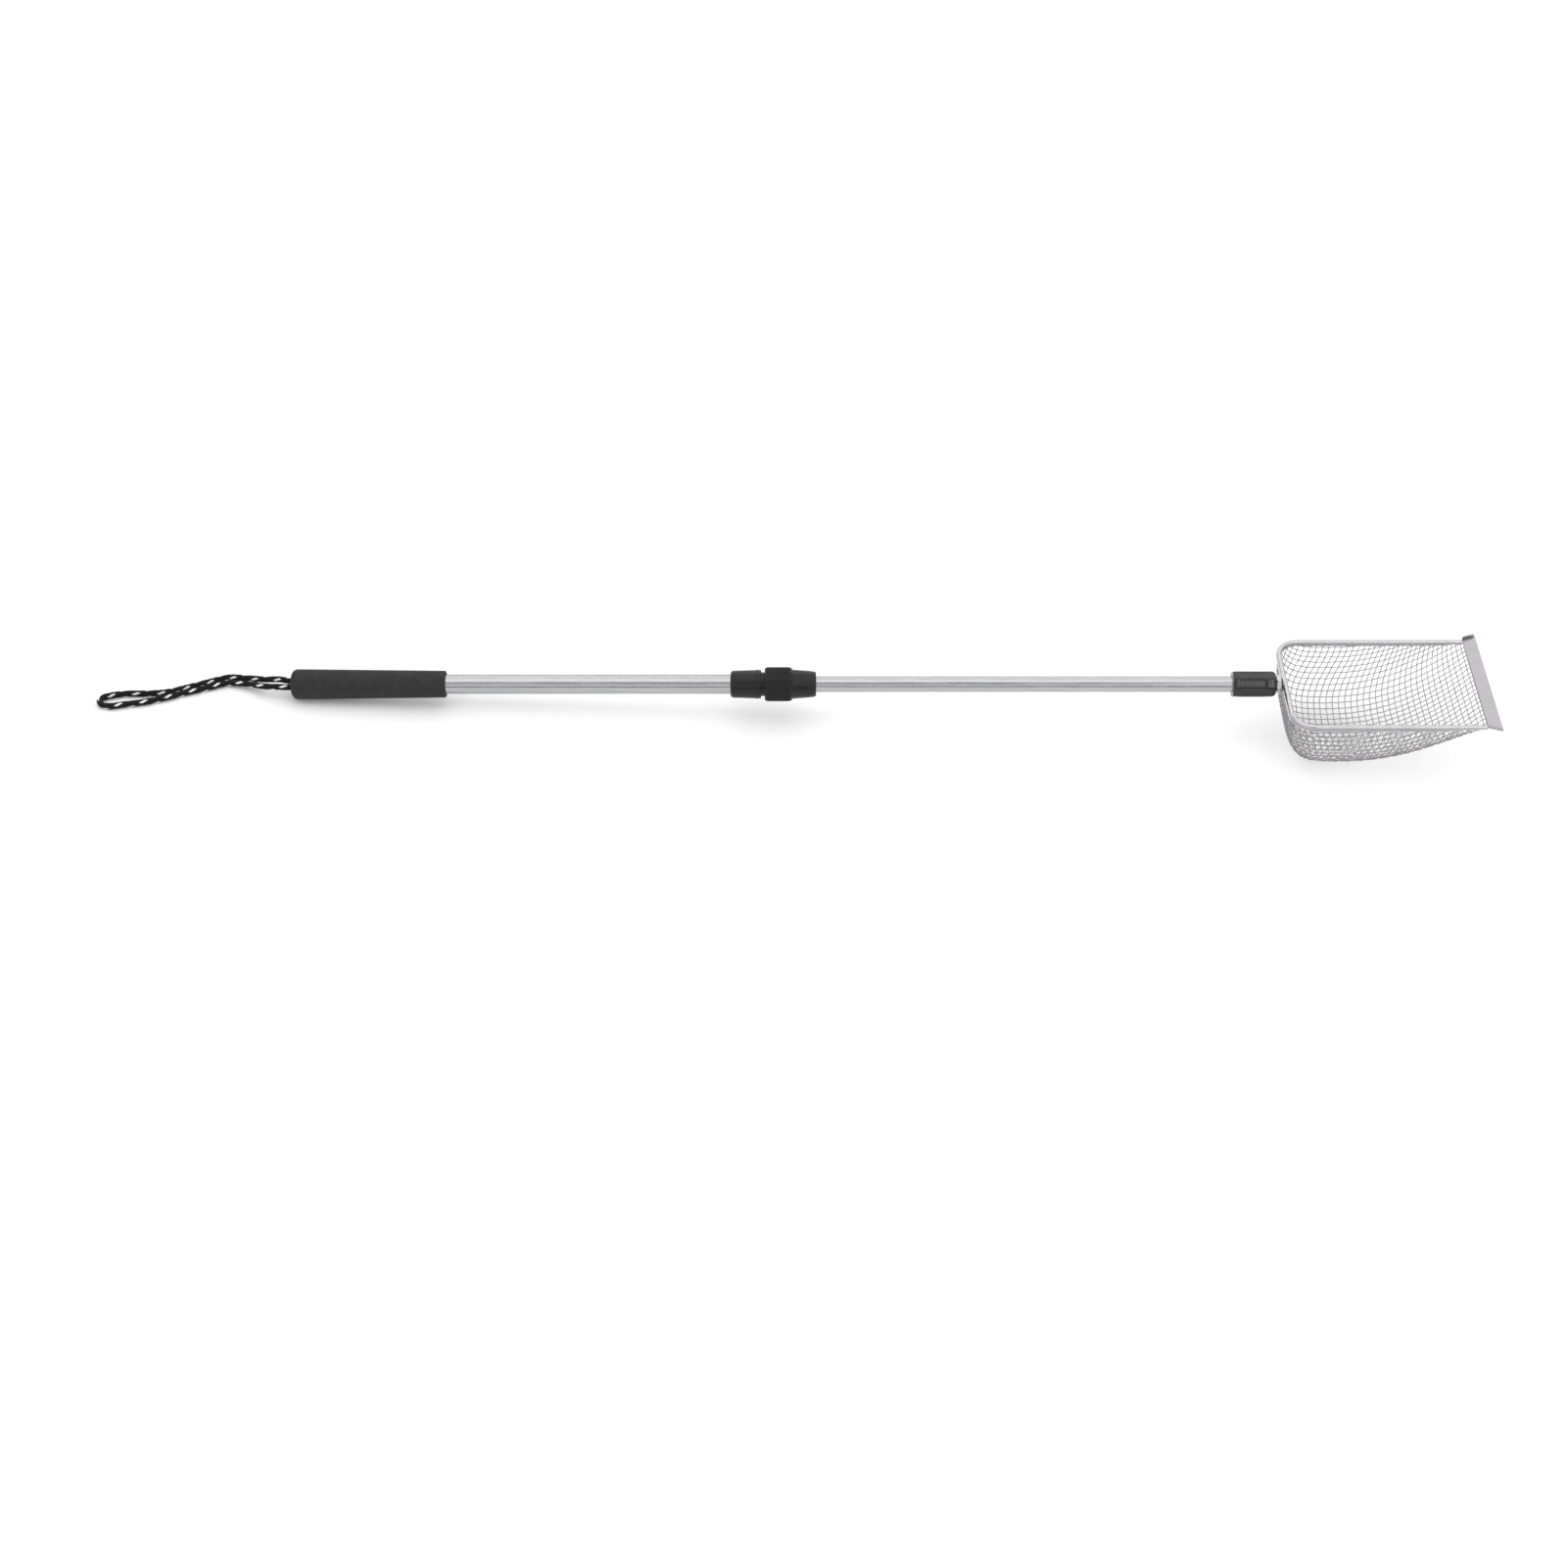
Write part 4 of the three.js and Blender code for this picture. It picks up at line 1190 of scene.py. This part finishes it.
# ---- Basket of woven wire ----
# Plain-woven stainless wire, pressed to a deep scoop: a rounded wall behind the deepest place and
# a ramp up to the lip. Its edge is folded into the rim. Wires are laid out along and across the
# pressed surface at the pitch of the flat cloth, and those near the sides end in the rim.
WIRE_PITCH = 5.2 * MM
WIRE_RADIUS = 0.36 * MM
WIRE_SIDES = 6
STEPS_PER_CELL = 4
MESH_TOP = -0.5 * MM
MESH_DEPTH = 58 * MM
MESH_DEEPEST = 43 * MM
MESH_LENGTH = 155 * MM
MESH_TUCK = 5 * MM
WALL_SHARE = 0.42
WALL_POWER = 3.2
RAMP_POWER = 2.3
SIDE_POWER = 3
WALL_FOOT = 35 * MM
WALL_RUN = 55 * MM
DRAG = 14 * MM


def mesh_half_width(inset):
    """Half the width of the mesh's edge, at a distance from its rear edge."""
    corner = RIM_CORNER - RIM_THICKNESS / 2
    short = max(0, corner - inset)
    bulge = math.sqrt(max(0, corner**2 - short**2))
    return RIM_HALF_WIDTH - RIM_THICKNESS / 2 - corner + bulge


def mesh_point(along, across):
    """A place on the pressed surface: along runs 0..1 from the rear edge to the lip, across
    -1..1 from side to side."""
    if along < WALL_SHARE:
        angle = math.pi / 2 * along / WALL_SHARE
        inset = MESH_DEEPEST * (1 - max(0, math.cos(angle)) ** (2 / WALL_POWER))
        depth = MESH_DEPTH * math.sin(angle) ** (2 / WALL_POWER)
    else:
        t = (along - WALL_SHARE) / (1 - WALL_SHARE)
        inset = MESH_DEEPEST + (MESH_LENGTH - MESH_DEEPEST) * t
        depth = MESH_DEPTH * (1 - t**RAMP_POWER)
    angle = math.pi / 2 * across
    side = math.copysign(abs(math.sin(angle)) ** (2 / SIDE_POWER), across)
    drop = max(0, math.cos(angle)) ** (2 / SIDE_POWER)
    station = SCOOP_BACK + RIM_THICKNESS / 2 + inset
    return Vector((station, mesh_half_width(inset) * side, MESH_TOP - depth * drop))


def outward(along, across):
    """The way out of the basket at a place on its surface."""
    step = 1e-3
    a = min(1 - step, max(step, along))
    c = min(1 - step, max(step - 1, across))
    lengthwise = mesh_point(a + step, c) - mesh_point(a - step, c)
    sideways = mesh_point(a, c + step) - mesh_point(a, c - step)
    return sideways.cross(lengthwise).normalized()


def lengths_along(points):
    """The distance run at each of a row of points."""
    run = [0]
    for a, b in zip(points, points[1:]):
        run.append(run[-1] + (b - a).length)
    return run


def looked_up(value, keys, results):
    """The result that belongs to a value, between the nearest of rising keys."""
    low, high = 0, len(keys) - 1
    while high - low > 1:
        middle = (low + high) // 2
        low, high = (middle, high) if keys[middle] <= value else (low, middle)
    share = (value - keys[low]) / max(keys[high] - keys[low], 1e-12)
    return results[low] + (results[high] - results[low]) * min(1, max(0, share))


FINE = 240
alongs = [k / FINE for k in range(FINE + 1)]
sides = [k / FINE for k in range(FINE + 1)]
centre_run = lengths_along([mesh_point(a, 0) for a in alongs])
side_runs = [lengths_along([mesh_point(a, s) for s in sides]) for a in alongs]
half_girths = [runs[-1] for runs in side_runs]


def pulled_forward(distance, run):
    """How far the pressing has dragged the crosswise wires towards the lip, on the side walls."""
    wall = smoothly(distance, WALL_FOOT, WALL_FOOT + WALL_RUN)
    rear = 1 - smoothly(run, 0.45 * centre_run[-1], 0.95 * centre_run[-1])
    return DRAG * wall * rear


def half_girth(along):
    """Length of the surface from its middle to its edge, straight across."""
    return looked_up(along, alongs, half_girths)


def across_at(along, distance):
    """How far across a wire is, at a distance from the middle measured on the surface."""
    row = min(FINE - 1, int(along * FINE))
    share = along * FINE - row
    first, second = (looked_up(distance, side_runs[row + k], sides) for k in (0, 1))
    return first + (second - first) * share


def woven(along, across, cells_along, cells_across, over):
    """A point of a wire at its place in the weave, over or under the surface's middle."""
    crossing = math.cos(math.pi * cells_along) * math.cos(math.pi * cells_across)
    return mesh_point(along, across) + outward(along, across) * (over * WIRE_RADIUS * crossing)


def crosswise_wires():
    rows = int(centre_run[-1] / WIRE_PITCH)
    wires = []
    for row in range(rows + 1):
        start = centre_run[-1] - (row + 0.5) * WIRE_PITCH
        half = []
        for k in itertools.count():
            distance = k * WIRE_PITCH / STEPS_PER_CELL
            run = start
            for _ in range(4):
                run = start + pulled_forward(distance, run)
            along = looked_up(run, centre_run, alongs)
            edge = half_girth(along)
            half.append((along, min(distance, edge), k / STEPS_PER_CELL))
            if distance >= edge:
                break
        wire = []
        for way, part in ((-1, half[:0:-1]), (1, half)):
            for along, distance, cells in part:
                across = way * across_at(along, distance)
                wire.append(woven(along, across, row, cells, 1))
        wires.append(wire)
    return wires


def lengthwise_wires():
    steps = int(centre_run[-1] / WIRE_PITCH * STEPS_PER_CELL)
    stations = [centre_run[-1] * (1 - k / steps) for k in range(steps + 1)]
    wires = []
    for column in range(int(max(half_girths) / WIRE_PITCH) + 1):
        distance = column * WIRE_PITCH
        wire = []
        for run in stations:
            along = looked_up(run, centre_run, alongs)
            if distance < half_girth(along):
                start = run - pulled_forward(distance, run)
                cells = (centre_run[-1] - start) / WIRE_PITCH - 0.5
                wire.append(woven(along, across_at(along, distance), cells, column, -1))
        if len(wire) < 3:
            continue
        if distance < RIM_HALF_WIDTH - RIM_THICKNESS:
            wire.insert(0, wire[0] + Vector((MESH_TUCK, 0, 0)))
        wires.append(wire)
        if column:
            wires.append([Vector((p.x, -p.y, p.z)) for p in wire])
    return wires


def wire_tree(material):
    """Round wire of a given radius along the edges of a mesh."""
    tree, sizes, result = size_tree("drawn_wire", "Wire radius")
    lines = node(tree, "GeometryNodeMeshToCurve", {"Mesh": sizes.outputs["Geometry"]})
    profile = node(
        tree,
        "GeometryNodeCurvePrimitiveCircle",
        {"Resolution": WIRE_SIDES, "Radius": sizes.outputs["Wire radius"]},
        mode="RADIUS",
    )
    round_wire = node(
        tree,
        "GeometryNodeCurveToMesh",
        {
            "Curve": lines.outputs["Curve"],
            "Profile Curve": profile.outputs["Curve"],
            "Fill Caps": True,
        },
    )
    real = node(tree, "GeometryNodeRealizeInstances", {"Geometry": round_wire.outputs["Mesh"]})
    smooth = node(tree, "GeometryNodeSetShadeSmooth", {"Geometry": real.outputs["Geometry"]})
    coloured = node(
        tree,
        "GeometryNodeSetMaterial",
        {"Geometry": smooth.outputs["Geometry"], "Material": material},
    )
    tree.links.new(coloured.outputs["Geometry"], result.inputs["Geometry"])
    return tree


def wire_steel():
    material, tree, shader = new_material("mesh_steel", (0.3, 0.285, 0.3), 1, 0.3)
    tarnish = grain(tree, 7 * MM, detail=3)
    fine = grain(tree, 0.4 * MM, detail=2)
    tree.links.new(
        blended(tree, spread(tree, tarnish, 0, 1, 0.3, 0.7), (0.29, 0.28, 0.29), (0.4, 0.385, 0.4)),
        shader.inputs["Base Color"],
    )
    tree.links.new(spread(tree, fine, 0.22, 0.4), shader.inputs["Roughness"])
    roughened(tree, shader, fine, 0.02 * MM)
    return material


def basket_mesh():
    wires = crosswise_wires() + lengthwise_wires()
    points = [pole @ p for wire in wires for p in wire]
    edges = []
    first = 0
    for wire in wires:
        edges += [(first + k, first + k + 1) for k in range(len(wire) - 1)]
        first += len(wire)
    lines = bpy.data.meshes.new("wire_lines")
    lines.from_pydata(points, edges, [])
    return grown("mesh_basket", lines, wire_tree(wire_steel()), **{"Wire radius": WIRE_RADIUS})


place_piece("woven_basket", basket_mesh(), None, "mesh_steel", "extension", "mesh_basket")

# ---- Floor ----
# A plain pale floor, large enough for every view.
FLOOR_HALF = 6.0


def floor_mesh():
    bm = bmesh.new()
    corners = [(-1, -1), (1, -1), (1, 1), (-1, 1)]
    bm.faces.new([bm.verts.new((FLOOR_HALF * x, FLOOR_HALF * y, 0)) for x, y in corners])
    mesh = bpy.data.meshes.new("floor")
    bm.to_mesh(mesh)
    bm.free()
    return mesh


floor = bpy.data.objects.new("floor", floor_mesh())
floor.data.materials.append(new_material("floor_paint", (0.95, 0.95, 0.95), 0, 0.7)[0])
scene.collection.objects.link(floor)
